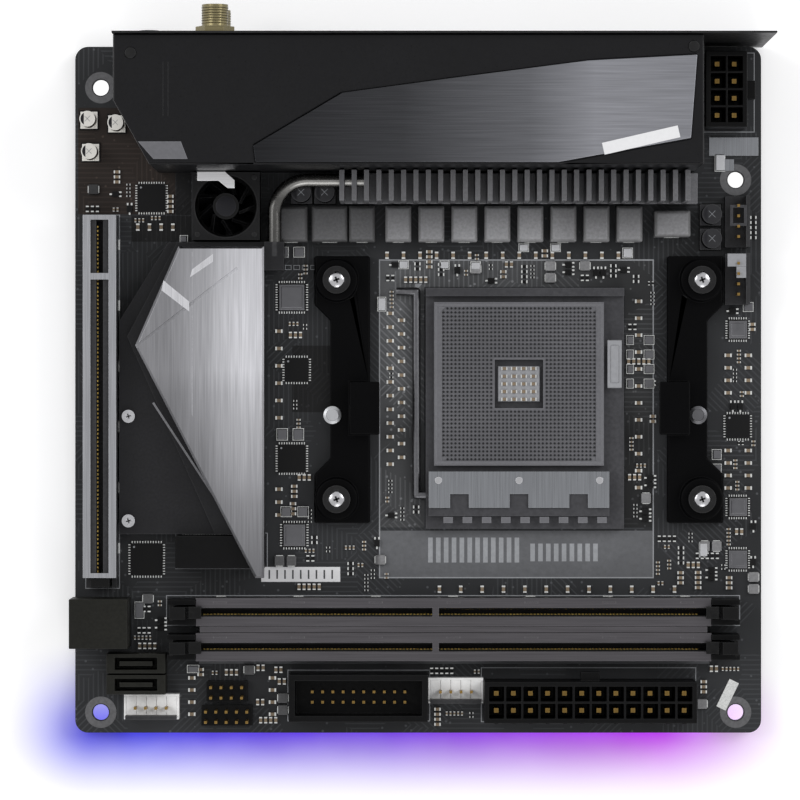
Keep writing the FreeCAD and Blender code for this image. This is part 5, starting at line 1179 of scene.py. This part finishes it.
class FinishChips(Step):
    """Legs, corner dots and plain caps on the chips, chokes and capacitors"""

    bl_idname = "board.finish_chips"
    bl_label = "Chip and choke detail"

    def make(self):
        self.legs, self.dots, self.marks = Shape(), Shape(), Shape()
        for low, high in islands_mm("controller_chips"):
            self.chip(low, high)
        for low, high in islands_mm("power_transistors"):
            self.power(low, high)
        self.legs.piece("chip_legs", "tin", "silver_metal")
        self.dots.piece("corner_dots", "print", "chip_epoxy")
        self.chokes()
        self.cans()
        self.small_ends()

    def chip(self, low, high):
        """Gull-wing legs on the chip's sides and a dot at its corner."""
        wide, deep = high.x - low.x, high.y - low.y
        middle_x, middle_y = centre(low, high)
        if wide > 10:
            return
        for side_long, other, across in ((wide, deep, True), (deep, wide, False)):
            for step in spaced(-side_long / 2, side_long / 2, 0.4, round(side_long / LEG_PITCH)):
                for side in (-1, 1):
                    out = side * (other / 2 + 0.22)
                    x, y = (step, out) if across else (out, step)
                    size = (0.24, 0.62) if across else (0.62, 0.24)
                    self.legs.block(middle_x + x, middle_y + y, BOARD_TOP, *size, BOARD_TOP + 0.22)
        self.dots.turned((low.x + 0.9, high.y - 0.9, high.z), ((0.26, 0.0), (0.24, 0.02)), 14)

    def power(self, low, high):
        """Legs along the front of a power stage."""
        for x in spaced(low.x, high.x, 0.5, 5):
            self.legs.block(x, low.y - 0.25, BOARD_TOP, 0.45, 0.6, BOARD_TOP + 0.25)

    def chokes(self):
        """A raised cap and two side straps on every choke."""
        caps, straps = Shape(), Shape()
        for low, high in islands_mm("chokes"):
            x, y = centre(low, high)
            wide, deep = high.x - low.x, high.y - low.y
            caps.block(x, y, high.z - 0.3, wide - 0.9, deep - 0.9, high.z + 0.12, 0.0, 0.35)
            for side in (-1, 1):
                straps.block(
                    x, y + side * (deep / 2 + 0.06), BOARD_TOP, wide * 0.42, 0.14, low.z + 3.2
                )
        caps.piece("choke_caps", "choke_cap", "ferrite", edge=0.3)
        straps.piece("choke_straps", "tin", "silver_metal")

    def cans(self):
        """Vent lines and a dark half-moon on each can, and its base plate."""
        moons, vents, bases = Shape(), Shape(), Shape()
        for node in ("audio_capacitors", "power_capacitors"):
            for low, high in islands_mm(node):
                x, y = centre(low, high)
                radius = min(high.x - low.x, high.y - low.y) / 2 * 0.80
                angles = [math.radians(degrees) for degrees in range(120, 241, 12)]
                arc = [(x + radius * math.cos(a), y + radius * math.sin(a)) for a in angles]
                moons.prism(arc, high.z - 0.02, high.z + 0.03)
                vents.block(x, y, high.z - 0.02, radius * 1.1, 0.12, high.z + 0.04, 45)
                vents.block(x, y, high.z - 0.02, radius * 1.1, 0.12, high.z + 0.04, 135)
                bases.block(x, y, BOARD_TOP, 2 * radius + 1.5, 2 * radius + 1.5, BOARD_TOP + 0.5)
        moons.piece("can_moons", "sleeve", "capacitor_can")
        vents.piece("can_vents", "steel", "capacitor_can")
        bases.piece("can_bases", "plastic", "black_plastic", edge=0.1)

    def small_ends(self):
        """Soldered ends on the set rows of small parts."""
        ends = Shape()
        for low, high in islands_mm("small_parts"):
            x, y = centre(low, high)
            wide, deep = high.x - low.x, high.y - low.y
            top = high.z + 0.03
            for side in (-1, 1):
                if wide >= deep:
                    ends.block(x + side * (wide / 2 - 0.1), y, BOARD_TOP, 0.4, deep + 0.06, top)
                else:
                    ends.block(x, y + side * (deep / 2 - 0.1), BOARD_TOP, wide + 0.06, 0.4, top)
        ends.piece("set_part_ends", "tin", "silver_metal")


class FinishHeatsinks(Step):
    """Facets and seam of the storage plate, a painted highlight line on the sink, painted shade in
    the screw recesses and the fan's detail
    """

    bl_idname = "board.finish_heatsinks"
    bl_label = "Heat sink detail"

    def make(self):
        self.plate()
        self.screws()
        self.fan()

    def plate(self):
        """Two plain facets on the plate's upper left, lighter as a painted highlight, and the seam
        of its left part.
        """
        low, high = box_mm("storage_plate")
        top = high.z
        facets, seam = Shape(), Shape()
        for ax, ay, bx, by, wide in (
            (15.8, -50.6, 22.6, -55.8, 2.4), (22.8, -47.4, 28.4, -43.6, 1.9),
        ):
            outline = ((ax, ay), (bx, by), (bx, by + wide), (ax + 0.5, ay + wide))
            facets.prism(outline, top - 0.02, top + 0.05)
        fold = low.x + (high.x - low.x) * 0.44
        outline = ((fold, high.y - 1.4), (fold + 0.25, high.y - 1.4),
                   (fold + 0.25, high.y - 41.8), (fold, high.y - 41.2))
        seam.prism(outline, top - 0.02, top + 0.04)
        facets.piece("plate_facets", "plate_light", "brushed_silver")
        seam.piece("plate_line", "plate_dim", "brushed_silver")
        self.painted_highlight_line(low, high)

    def painted_highlight_line(self, low, high):
        """Thin light line painted on the dark sink beside the plate's slanted edge, as the
        highlight along the sink's edge.
        """
        line = Shape()
        sink = box_mm("chipset_heatsink")[1].z
        (ax, ay), (bx, by) = (low.x + 4.5, -78.0), (high.x - 7.4, -108.2)
        dx, dy = bx - ax, by - ay
        reach = math.hypot(dx, dy)
        wx, wy = dy / reach * 0.5, -dx / reach * 0.5
        outline = ((ax, ay), (bx, by), (bx + wx, by + wy), (ax + wx, ay + wy))
        line.prism(outline, sink - 0.02, sink + 0.04)
        line.piece("sink_line", "fins", "black_anodised")

    def screws(self):
        """Dark crosses painted as the shade in the cross recesses, and bright middles on every
        screw head.
        """
        cross, heads = Shape(), Shape()
        for node, share, rise in (("bracket_screws", 0.46, 0.24), ("heatsink_screws", 0.8, 0.03)):
            for low, high in islands_mm(node):
                x, y = centre(low, high)
                radius = (high.x - low.x) / 2
                if node == "bracket_screws":
                    wide = radius * 0.56
                    profile = ((wide, 0.0), (wide, 1.1), (radius * 0.46, 1.35), (0.3, 1.4))
                    heads.turned((x, y, high.z - 1.2), profile, 28)
                for turn in (20, 110):
                    size = (radius * share, radius * 0.14)
                    cross.block(x, y, high.z - 0.05, *size, high.z + rise, turn)
        heads.piece("screw_middles", "bright", "steel", smooth=True)
        cross.piece("screw_crosses", "hole_dark", "black_steel")

    def fan(self):
        """Hub cap, mouth ring, clip and corner screws of the small fan."""
        low, high = box_mm("chipset_fan_frame")
        x, y = centre(low, high)
        hub_high = box_mm("chipset_fan_rotor")[1].z
        hub, ring, screws = Shape(), Shape(), Shape()
        profile = ((2.5, 0.0), (2.5, 0.06), (2.3, 0.12), (0.2, 0.12))
        hub.turned((x, y, hub_high - 0.02), profile, 32)
        hub.piece("fan_hub_cap", "sleeve", "black_plastic", smooth=True, body="fan_rotor")
        mouth = ((7.65, -0.05), (7.95, -0.05), (7.95, 0.08), (7.65, 0.08), (7.65, -0.05))
        ring.turned((x, y, high.z), mouth, 48, caps=False)
        ring.piece("fan_mouth_ring", "fan_black", "black_plastic", smooth=True)
        clip = Shape()
        outline = ((24.4, -21.3), (31.2, -21.3), (33.6, -23.4), (33.6, -25.4), (31.8, -25.4),
                   (29.6, -23.6), (24.4, -23.6))
        clip.prism(outline, high.z, high.z + 0.35)
        # Painted light: the clip's metal is lifted against the shroud's shadow.
        clip.piece("fan_clip", "rim_light", "silver_metal", edge=0.1)
        for i in (-1, 1):
            for j in (-1, 1):
                spot = (x + i * 7.0, y + j * 7.0, high.z)
                screws.turned(spot, ((0.75, -0.05), (0.65, 0.12), (0.2, 0.14)), 16)
        screws.piece("fan_screws", "screw_black", "black_steel", smooth=True)


class FinishShroud(Step):
    """Pale slanted bar, ribs, a grey patch and screws on the rear shroud"""

    bl_idname = "board.finish_shroud"
    bl_label = "Shroud detail"

    def make(self):
        top = box_mm("shroud_insert")[1].z
        low, high = box_mm("rear_shroud")
        bar = Shape()
        bar.block(131.9, -15.3, top, 18.6, 2.9, top + 0.08, 13.0)
        bar.piece("pale_bar", "white_print", "white_plastic", edge=0.03)
        seam = Shape()
        for x in (low.x + 12, low.x + 13.2):
            seam.block(x, -3.0, high.z - 0.02, 0.28, 13.0, high.z + 0.05, 0.0)
        seam.piece("shroud_ribs", "shroud", "shroud_plastic", edge=0.03)
        screws = Shape()
        for x, y in ((low.x + 4.2, 5.6), (high.x - 2.4, 7.2)):
            screws.turned((x, y, high.z - 0.02), ((1.5, 0.0), (1.3, 0.35), (0.3, 0.4)), 24)
        patch = Shape()
        outline = ((11.5, -15.6), (21.8, -15.6), (23.4, -19.8), (15.2, -19.8))
        patch.prism(outline, high.z - 0.02, high.z + 0.12)
        patch.piece("shroud_patch", "rim_grey", "grey_plastic", edge=0.05)
        screws.piece("shroud_screws", "screw_black", "black_steel", smooth=True)


class FinishSlots(Step):
    """Contacts, ribs and armour strips of the memory and expansion slots"""

    bl_idname = "board.finish_slots"
    bl_label = "Slot detail"

    def make(self):
        self.contacts, self.tabs = Shape(), Shape()
        for node in ("memory_rear_slot", "memory_front_slot"):
            low, high = box_mm(node)
            self.row(low.x + 9, high.x - 9, (low.y + high.y) / 2, 0.85, "X", BOARD_TOP + 5.2)
        low, high = box_mm("expansion_slot")
        self.row(low.y + 4, high.y - 1, (low.x + high.x) / 2, 1.0, "Y", BOARD_TOP + 7.0)
        self.contacts.piece("slot_contacts", "gold", "gold_plate")
        self.bridge()
        self.armour_tabs()
        self.latches()

    def row(self, start, end, middle, pitch, way, height):
        """Two facing rows of springs inside a slot's channel."""
        for i in range(int((end - start) / pitch)):
            along = start + i * pitch
            for side in (-1, 1):
                off = middle + side * 0.72
                x, y = (along, off) if way == "X" else (off, along)
                size = (pitch * 0.5, 0.22) if way == "X" else (0.22, pitch * 0.5)
                self.contacts.block(x, y, height - 2.2, size[0], size[1], height)

    def bridge(self):
        """Strip between the two memory armours."""
        front = box_mm("memory_front_armor")
        rear = box_mm("memory_rear_armor")
        strip = Shape()
        y0, y1 = front[1].y, rear[0].y
        x0, x1, top = rear[0].x + 1, rear[1].x - 1, rear[1].z
        strip.slab(x0, x1, y0 + 0.03, y1 - 0.03, top - 1.1, top - 0.35)
        strip.piece("armour_strip", "armour", "dark_metal", edge=0.08)

    def armour_tabs(self):
        """Soldered feet of the armour and shallow dimples along its top."""
        feet, dimples = Shape(), Shape()
        for node in ("memory_rear_armor", "memory_front_armor"):
            low, high = box_mm(node)
            for x in spaced(low.x, high.x, 6.0, 7):
                for y in (low.y - 0.1, high.y + 0.1):
                    feet.block(x, y, BOARD_TOP, 2.4, 0.3, BOARD_TOP + 1.2)
                dimples.block(x, high.y - 1.1, high.z, 3.4, 0.5, high.z + 0.03, 0.0, 0.1)
        low, high = box_mm("expansion_armor")
        for y in spaced(low.y, high.y, 7.0, 6):
            for x in (low.x - 0.12, high.x + 0.12):
                feet.block(x, y, BOARD_TOP, 0.3, 2.6, BOARD_TOP + 1.4)
        feet.piece("armour_feet", "tin", "silver_metal")
        dimples.piece("armour_dimples", "armour", "dark_metal")

    def latches(self):
        """Grip ribs on the latches, each riding on its own latch."""
        for place in ("rear", "front"):
            for side in ("left", "right"):
                body = f"{place}_latch_{side}"
                ribs = Shape()
                self.grips(ribs, *box_mm("memory_" + body), side)
                ribs.piece(f"{body}_ribs", "glossy", "black_plastic", edge=0.05, body=body)

    def grips(self, ribs, low, high, side):
        """Three low ribs on the latch's outer face."""
        y = (low.y + high.y) / 2
        face = low.x if side == "left" else high.x
        for i in range(3):
            z = high.z - 1.6 - i * 0.9
            x = face + (0.35 if side == "left" else -0.35)
            ribs.block(x, y, z, 0.8, (high.y - low.y) * 0.72, z + 0.35)


class FinishConnectors(Step):
    """Pale headers, ribs, legs and the bare label beside the connectors"""

    bl_idname = "board.finish_connectors"
    bl_label = "Connector detail"

    def make(self):
        self.pale_headers()
        self.corner_header()
        self.power_ribs()
        self.bare_label()
        self.drive_legs()

    def pale_headers(self):
        """White sleeves over the upright fan headers."""
        sleeve = Shape()
        for low, high in islands_mm("fan_headers"):
            if high.x > 100 or high.y - low.y > high.x - low.x:
                continue
            x0, x1, y0, y1 = low.x - 0.5, high.x + 0.5, low.y - 0.1, high.y + 0.35
            top, wall = high.z - 3.4, 0.55
            a, b, c, d = x0 + wall, x1 - wall, y0 + wall, y1 - wall
            sleeve.slab(x0, x1, d, y1, BOARD_TOP, top)
            sleeve.slab(x0, x1, y0, c, BOARD_TOP, top + 0.2)
            sleeve.slab(x0, a, c, d, BOARD_TOP, top)
            sleeve.slab(b, x1, c, d, BOARD_TOP, top)
            cell = (b - a) / SLEEVE_CELLS
            for i in range(SLEEVE_CELLS):
                x = a + cell * i
                sleeve.slab(x + 0.03, x + cell - 0.03, c, d, top - 1.25, top - 0.05)
        sleeve.piece("pale_headers", "white_plastic", "white_plastic", edge=0.1)

    def corner_header(self):
        """Pale cap and ring on the headers at the right edge, and the pad in the corner."""
        cap, ring, pad = Shape(), Shape(), Shape()
        top = box_mm("fan_headers")[1].z
        cap.block(157.2, -43.0, top, 4.6, 3.2, top + 0.3)
        cap.block(158.3, -46.0, top, 2.4, 2.8, top + 0.3)
        cap.piece("header_cap", "pale_block", "grey_plastic", edge=0.1)
        for x, y, wide, deep in (
            (155.9, -32.0, 0.7, 5.2), (159.3, -32.0, 0.7, 5.2),
            (157.6, -29.75, 2.7, 0.7), (157.6, -34.25, 2.7, 0.7),
        ):
            ring.block(x, y, top, wide, deep, top + 0.25)
        ring.piece("header_ring", "grey_plastic", "grey_plastic", edge=0.08)
        pad.block(155.5, -150.6, BOARD_TOP, 2.6, 7.6, BOARD_TOP + 0.12, -26.0, 0.05)
        pad.piece("corner_pad", "tin", "silver_metal", edge=0.03)

    def power_ribs(self):
        """Ribs along one side of the power connectors."""
        ribs = Shape()
        low, high = box_mm("main_power_connector")
        for i in range(12):
            x = low.x + 3.0 + i * POWER_PITCH
            ribs.block(x, low.y - 0.05, BOARD_TOP, 1.1, 0.5, high.z - 1.4)
        low, high = box_mm("processor_power_connector")
        for i in range(4):
            y = low.y + 3.0 + i * POWER_PITCH
            ribs.block(low.x - 0.05, y, BOARD_TOP, 0.5, 1.1, high.z - 1.4)
        ribs.piece("connector_ribs", "plastic", "black_plastic", edge=0.08)

    def bare_label(self):
        """Pale bare label with plain ticks, and grey pads."""
        label, ticks, grey = Shape(), Shape(), Shape()
        x0, _, y0, y1 = LABEL
        label.slab(*LABEL, BOARD_TOP, BOARD_TOP + 0.08)
        label.piece("bare_label", "white_print", "white_plastic", edge=0.03)
        for i in range(9):
            x, y = x0 + 2.0 + i * 1.95, (y0 + y1) / 2
            ticks.block(x, y, BOARD_TOP + 0.08, 0.4, 2.2, BOARD_TOP + 0.10)
        ticks.piece("label_ticks", "dim_print", "board_lacquer")
        grey.block(157.0, -14.6, BOARD_TOP, 12.4, 4.6, BOARD_TOP + 0.25, 0.0, 0.1)
        grey.block(155.4, -19.2, BOARD_TOP, 3.4, 3.0, BOARD_TOP + 0.5, 0.0, 0.1)
        grey.piece("grey_pads", "steel", "steel", edge=0.05)

    def drive_legs(self):
        """Soldered legs behind the drive connector."""
        low, high = box_mm("drive_connector")
        legs = Shape()
        for x in spaced(low.x, high.x, 1.4, 30):
            legs.block(x, high.y + 0.35, BOARD_TOP, 0.3, 0.7, BOARD_TOP + 0.25)
        legs.piece("drive_legs", "tin", "silver_metal")


class PlaceCans(Step):
    """Crystals, coils and shield cans that catch the light, in a lit and a shaded copy of one
    metal as painted highlight and painted shade
    """

    bl_idname = "board.place_cans"
    bl_label = "Crystals and coils"

    # Centre across, centre front to back, width and depth in millimetres.
    bright = (
        (75.1, -43.9, 2.6, 2.2), (85.3, -44.0, 2.4, 2.2), (93.0, -44.2, 2.6, 2.2),
        (104.9, -39.7, 2.6, 2.1), (112.8, -39.7, 2.6, 2.1), (130.7, -41.0, 2.6, 2.6),
        (69.7, -53.7, 2.2, 3.6), (149.5, -114.6, 2.2, 3.8), (153.6, -18.6, 2.6, 4.4),
    )
    grey = (
        (131.3, -62.6, 1.8, 2.4), (131.3, -66.2, 1.8, 2.4), (131.3, -69.8, 1.8, 2.4),
        (131.3, -73.4, 1.8, 2.4), (136.0, -62.6, 2.6, 2.4), (136.0, -66.2, 2.6, 2.4),
        (136.0, -69.8, 2.6, 2.4), (136.0, -73.4, 2.6, 2.4), (152.8, -91.0, 2.4, 2.6),
        (152.8, -94.6, 2.4, 2.6), (45.2, -40.8, 2.8, 2.6), (49.2, -40.8, 2.8, 2.6),
        (9.6, -129.6, 2.4, 4.2), (45.0, -86.0, 2.8, 3.0),
        (49.0, -86.0, 2.8, 3.0), (46.0, -105.2, 2.8, 2.6), (50.2, -105.2, 2.8, 2.6),
        (20.6, -37.6, 2.0, 2.0), (22.9, -144.2, 3.0, 2.0), (160.6, -54.4, 2.6, 2.4),
    )
    # Chips under a metal lid.
    lidded = ((158.0, -117.0), (158.0, -104.0), (158.0, -60.0), (48.0, -111.0), (47.4, -52.0))

    def make(self):
        self.seats = Shape()
        for name, places, finish_name in (
            ("bright_cans", self.bright, "bright_can"), ("grey_cans", self.grey, "grey_can"),
        ):
            cans = Shape()
            for x, y, wide, deep in places:
                size = (wide - 0.2, deep - 0.2)
                cans.block(x, y, BOARD_TOP + 0.15, *size, BOARD_TOP + 1.3, 0.0, 0.25)
                self.seats.block(x, y, BOARD_TOP, wide, deep, BOARD_TOP + 0.2)
            cans.piece(name, finish_name, "silver_metal", edge=0.12)
        self.seats.piece("can_seats", "tin", "silver_metal")
        self.lids()
        self.studs()

    def studs(self):
        """A round stud on the arm of each cooler bracket; the left one takes the lit copy of the
        can metal and the right one the shaded copy, as painted light and shade.
        """
        for name, x, paint in (
            ("stud_left", 57.5, "bright_can"), ("stud_right", 147.9, "grey_can"),
        ):
            stud = Shape()
            top = self.arm_top(x, -81.2)
            profile = ((2.3, 0.0), (2.2, 0.5), (1.5, 0.7), (1.4, 0.45), (0.3, 0.45))
            stud.turned((x, -81.2, top), profile, 32)
            stud.piece(name, paint, "silver_metal", smooth=True)

    def arm_top(self, x, y):
        """Height of the bracket under a point, in millimetres."""
        side = "left" if x < 100 else "right"
        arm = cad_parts[f"cooler_bracket_{side}"]
        hit, spot, _, _ = arm.ray_cast(Vector((x, y, 60.0)) * MM, Vector((0, 0, -1)))
        if not hit:
            raise RuntimeError(f"no bracket under the stud at {x}, {y}")
        return spot.z / MM

    def lids(self):
        """Flat lids with a drawn rim on some of the chips."""
        lids = Shape()
        for low, high in islands_mm("controller_chips"):
            x, y = centre(low, high)
            if any(abs(x - a) < 0.2 and abs(y - b) < 0.2 for a, b in self.lidded):
                wide = high.x - low.x - 0.5
                lids.block(x, y, high.z, wide, wide, high.z + 0.12, 0.0, 0.2)
                lids.block(x, y, high.z + 0.12, wide - 1.2, wide - 1.2, high.z + 0.2, 0.0, 0.2)
        # The lids take the shaded copy of the can metal.
        lids.piece("chip_lids", "grey_can", "silver_metal", edge=0.05)


class FinishRearPorts(Step):
    """Collars, tongues, contacts and threads of the rear connectors"""

    bl_idname = "board.finish_rear_ports"
    bl_label = "Rear connector detail"

    def make(self):
        self.collars()
        self.tongues()
        self.threads()
        self.springs()

    def collars(self):
        """Pale rings round the mouths of the sound jacks."""
        rings = Shape()
        low, high = box_mm("audio_jacks")
        x = (low.x + high.x) / 2
        step = (high.z - low.z) / 3
        for i in range(3):
            z = low.z + step * (i + 0.5)
            profile = ((1.85, 0.0), (2.6, 0.0), (2.5, 0.25), (1.9, 0.25), (1.85, 0.0))
            rings.turned((x, high.y, z), profile, 32, "Y", caps=False)
        rings.piece("jack_collars", "rim_grey", "grey_plastic", smooth=True)

    def tongues(self):
        """Gold contacts on the tongues of the data and picture sockets."""
        blades = Shape()
        for node, tiers in (("usb_stacks", 2), ("usb_c_stack", 2), ("network_stack", 3)):
            for low, high in islands_mm(node):
                self.blades(blades, node, low, high, tiers)
        for node in ("display_port_left", "display_port_right"):
            low, high = box_mm(node)
            x, z = (low.x + high.x) / 2, (low.z + high.z) / 2
            for i in range(9):
                blades.block(x + (i - 4) * 1.0, high.y - 3.0, z + 0.44, 0.45, 3.0, z + 0.52)
        blades.piece("port_contacts", "gold", "gold_plate")

    def blades(self, blades, node, low, high, tiers):
        """Four springs under the tongue of each data socket and eight in the network one."""
        middle = (low.x + high.x) / 2
        for tier in range(tiers):
            if node == "network_stack" and tier == 2:
                for i in range(8):
                    x = middle + (i - 3.5) * 1.02
                    blades.block(x, high.y - 4.4, high.z - 2.5, 0.4, 6.4, high.z - 2.25)
            elif node != "usb_c_stack" or tier == 0:
                under = BOARD_TOP + 7.6 * (tier + 0.5) - 0.4
                for x in (-3.6, -1.25, 1.25, 3.6):
                    blades.block(middle + x, high.y - 4.6, under - 0.08, 1.3, 6.6, under)

    def threads(self):
        """Turned threads, an insulator and a centre pin in each antenna jack."""
        turns, pins, inner = Shape(), Shape(), Shape()
        for low, high in islands_mm("antenna_jacks"):
            x, z = (low.x + high.x) / 2, (low.z + high.z) / 2
            profile = []
            for i in range(7):
                y = high.y - 0.6 - 0.62 * i
                profile += [(3.14, y), (3.30, y - 0.2), (3.14, y - 0.4)]
            sleeve = [(2.9, profile[-1][1]), (2.9, profile[0][1]), profile[0]]
            turns.turned((x, 0.0, z), profile + sleeve, 28, "Y", caps=False)
            pins.turned((x, high.y - 4.0, z), ((0.55, 0.0), (0.55, 2.6), (0.3, 3.0)), 16, "Y")
            inner.turned((x, high.y - 5.0, z), ((2.25, 0.0), (2.25, 1.2), (1.0, 1.5)), 24, "Y")
        turns.piece("antenna_threads", "antenna", "gold_plate", smooth=True)
        pins.piece("antenna_pins", "gold", "gold_plate", smooth=True)
        inner.piece("antenna_insulators", "white_plastic", "white_plastic", smooth=True)

    def springs(self):
        """Bent spring fingers of the shield beside the connector mouths."""
        fingers = Shape()
        outside = box_mm("rear_shield")[1].y
        for node in ("usb_stacks", "usb_c_stack", "network_stack", "display_port_left",
                     "display_port_right"):
            for low, high in islands_mm(node):
                for side, x in ((-1, low.x + 0.2), (1, high.x - 0.2)):
                    for share in (0.3, 0.7):
                        z = low.z + (high.z - low.z) * share
                        fingers.block(x, outside - 0.05, z - 0.9, 0.5, 0.24, z + 0.9, 0.0, 0.1)
        fingers.piece("shield_fingers", "steel", "steel", edge=0.04)


class FinishUnderside(Step):
    """Soldered tails under the board and the lamps along its light strip"""

    bl_idname = "board.finish_underside"
    bl_label = "Underside and light strip"

    def make(self):
        self.joints()
        self.lamps()

    def joints(self):
        """Rows of soldered tails under the slots and connectors."""
        tails = Shape()
        for node, way, pitch, rows in (
            ("memory_rear_slot", "X", 1.7, (-2.2, -0.9, 0.9, 2.2)),
            ("memory_front_slot", "X", 1.7, (-2.2, -0.9, 0.9, 2.2)),
            ("expansion_slot", "Y", 2.0, (-2.0, -0.8, 0.8, 2.0)),
            ("main_power_connector", "X", 4.2, (-2.1, 2.1)),
            ("front_usb_header", "X", 2.0, (-1.0, 1.0)),
            ("processor_power_connector", "Y", 4.2, (-2.1, 2.1)),
            ("audio_jacks", "Y", 3.2, (-3.0, 3.0)),
            ("usb_stacks", "X", 2.4, (-4.0, -2.0)),
            ("usb_c_stack", "X", 2.0, (-4.0, -2.0)),
            ("network_stack", "X", 2.0, (-4.0, -2.0)),
        ):
            low, high = box_mm(node)
            middle = (low + high) / 2
            start, stop = (low.x, high.x) if way == "X" else (low.y, high.y)
            for i in range(int((stop - start - 4.0) / pitch)):
                along = start + 2.0 + pitch * (i + 0.5)
                for row in rows:
                    x, y = (along, middle.y + row) if way == "X" else (middle.x + row, along)
                    if min(y, -y - 158.0) >= -161.0 and y <= 4.0:
                        tails.turned((x, y, 0.0), TAIL, 8)
        tails.piece("solder_tails", "tin", "silver_metal", smooth=True)

    def lamps(self):
        """Small lamps set along the light strip."""
        low, high = box_mm("light_strip")
        y = (low.y + high.y) / 2
        lamps = Shape()
        for i in range(STRIP_LAMPS):
            x = low.x + (high.x - low.x) * (i + 0.5) / STRIP_LAMPS
            lamps.block(x, y, low.z - 0.05, 3.4, (high.y - low.y) * 0.7, low.z + 0.02, 0.0, 0.2)
        lamps.piece("strip_lamps", "glow", "strip_light", edge=0.03)


# ---------------------------------------------------------------- panel and start


OPERATORS = (
    MixFinishes, DressBoard, PrintBoard, ScatterParts, FitSocket, FinishChips, FinishHeatsinks,
    FinishShroud, FinishSlots, FinishConnectors, PlaceCans, FinishRearPorts, FinishUnderside,
    SetStage,
)
GROUPS = {
    "board_tones": FinishColours,
    "board_glow": GlowSettings,
    "board_detail": DetailSizes,
    "board_stage": StageSettings,
}


class BOARD_PT_panel(bpy.types.Panel):
    """Settings and steps of the motherboard"""

    bl_label = "Motherboard"
    bl_space_type = "VIEW_3D"
    bl_region_type = "UI"
    bl_category = "Motherboard"

    def draw(self, context):
        for group, kind in GROUPS.items():
            box = self.layout.box()
            box.label(text=kind.__doc__)
            for name in kind.__annotations__:
                box.prop(getattr(context.scene, group), name)
        for step in OPERATORS:
            self.layout.operator(step.bl_idname)


def register():
    for kind in (*GROUPS.values(), *OPERATORS, BOARD_PT_panel):
        bpy.utils.register_class(kind)
    for name, kind in GROUPS.items():
        setattr(bpy.types.Scene, name, PointerProperty(type=kind))


def unregister():
    for name in GROUPS:
        delattr(bpy.types.Scene, name)
    for kind in reversed((*GROUPS.values(), *OPERATORS, BOARD_PT_panel)):
        bpy.utils.unregister_class(kind)


def main():
    register()
    for step in OPERATORS:
        group, name = step.bl_idname.split(".")
        getattr(getattr(bpy.ops, group), name)()


if __name__ == "__main__":
    main()
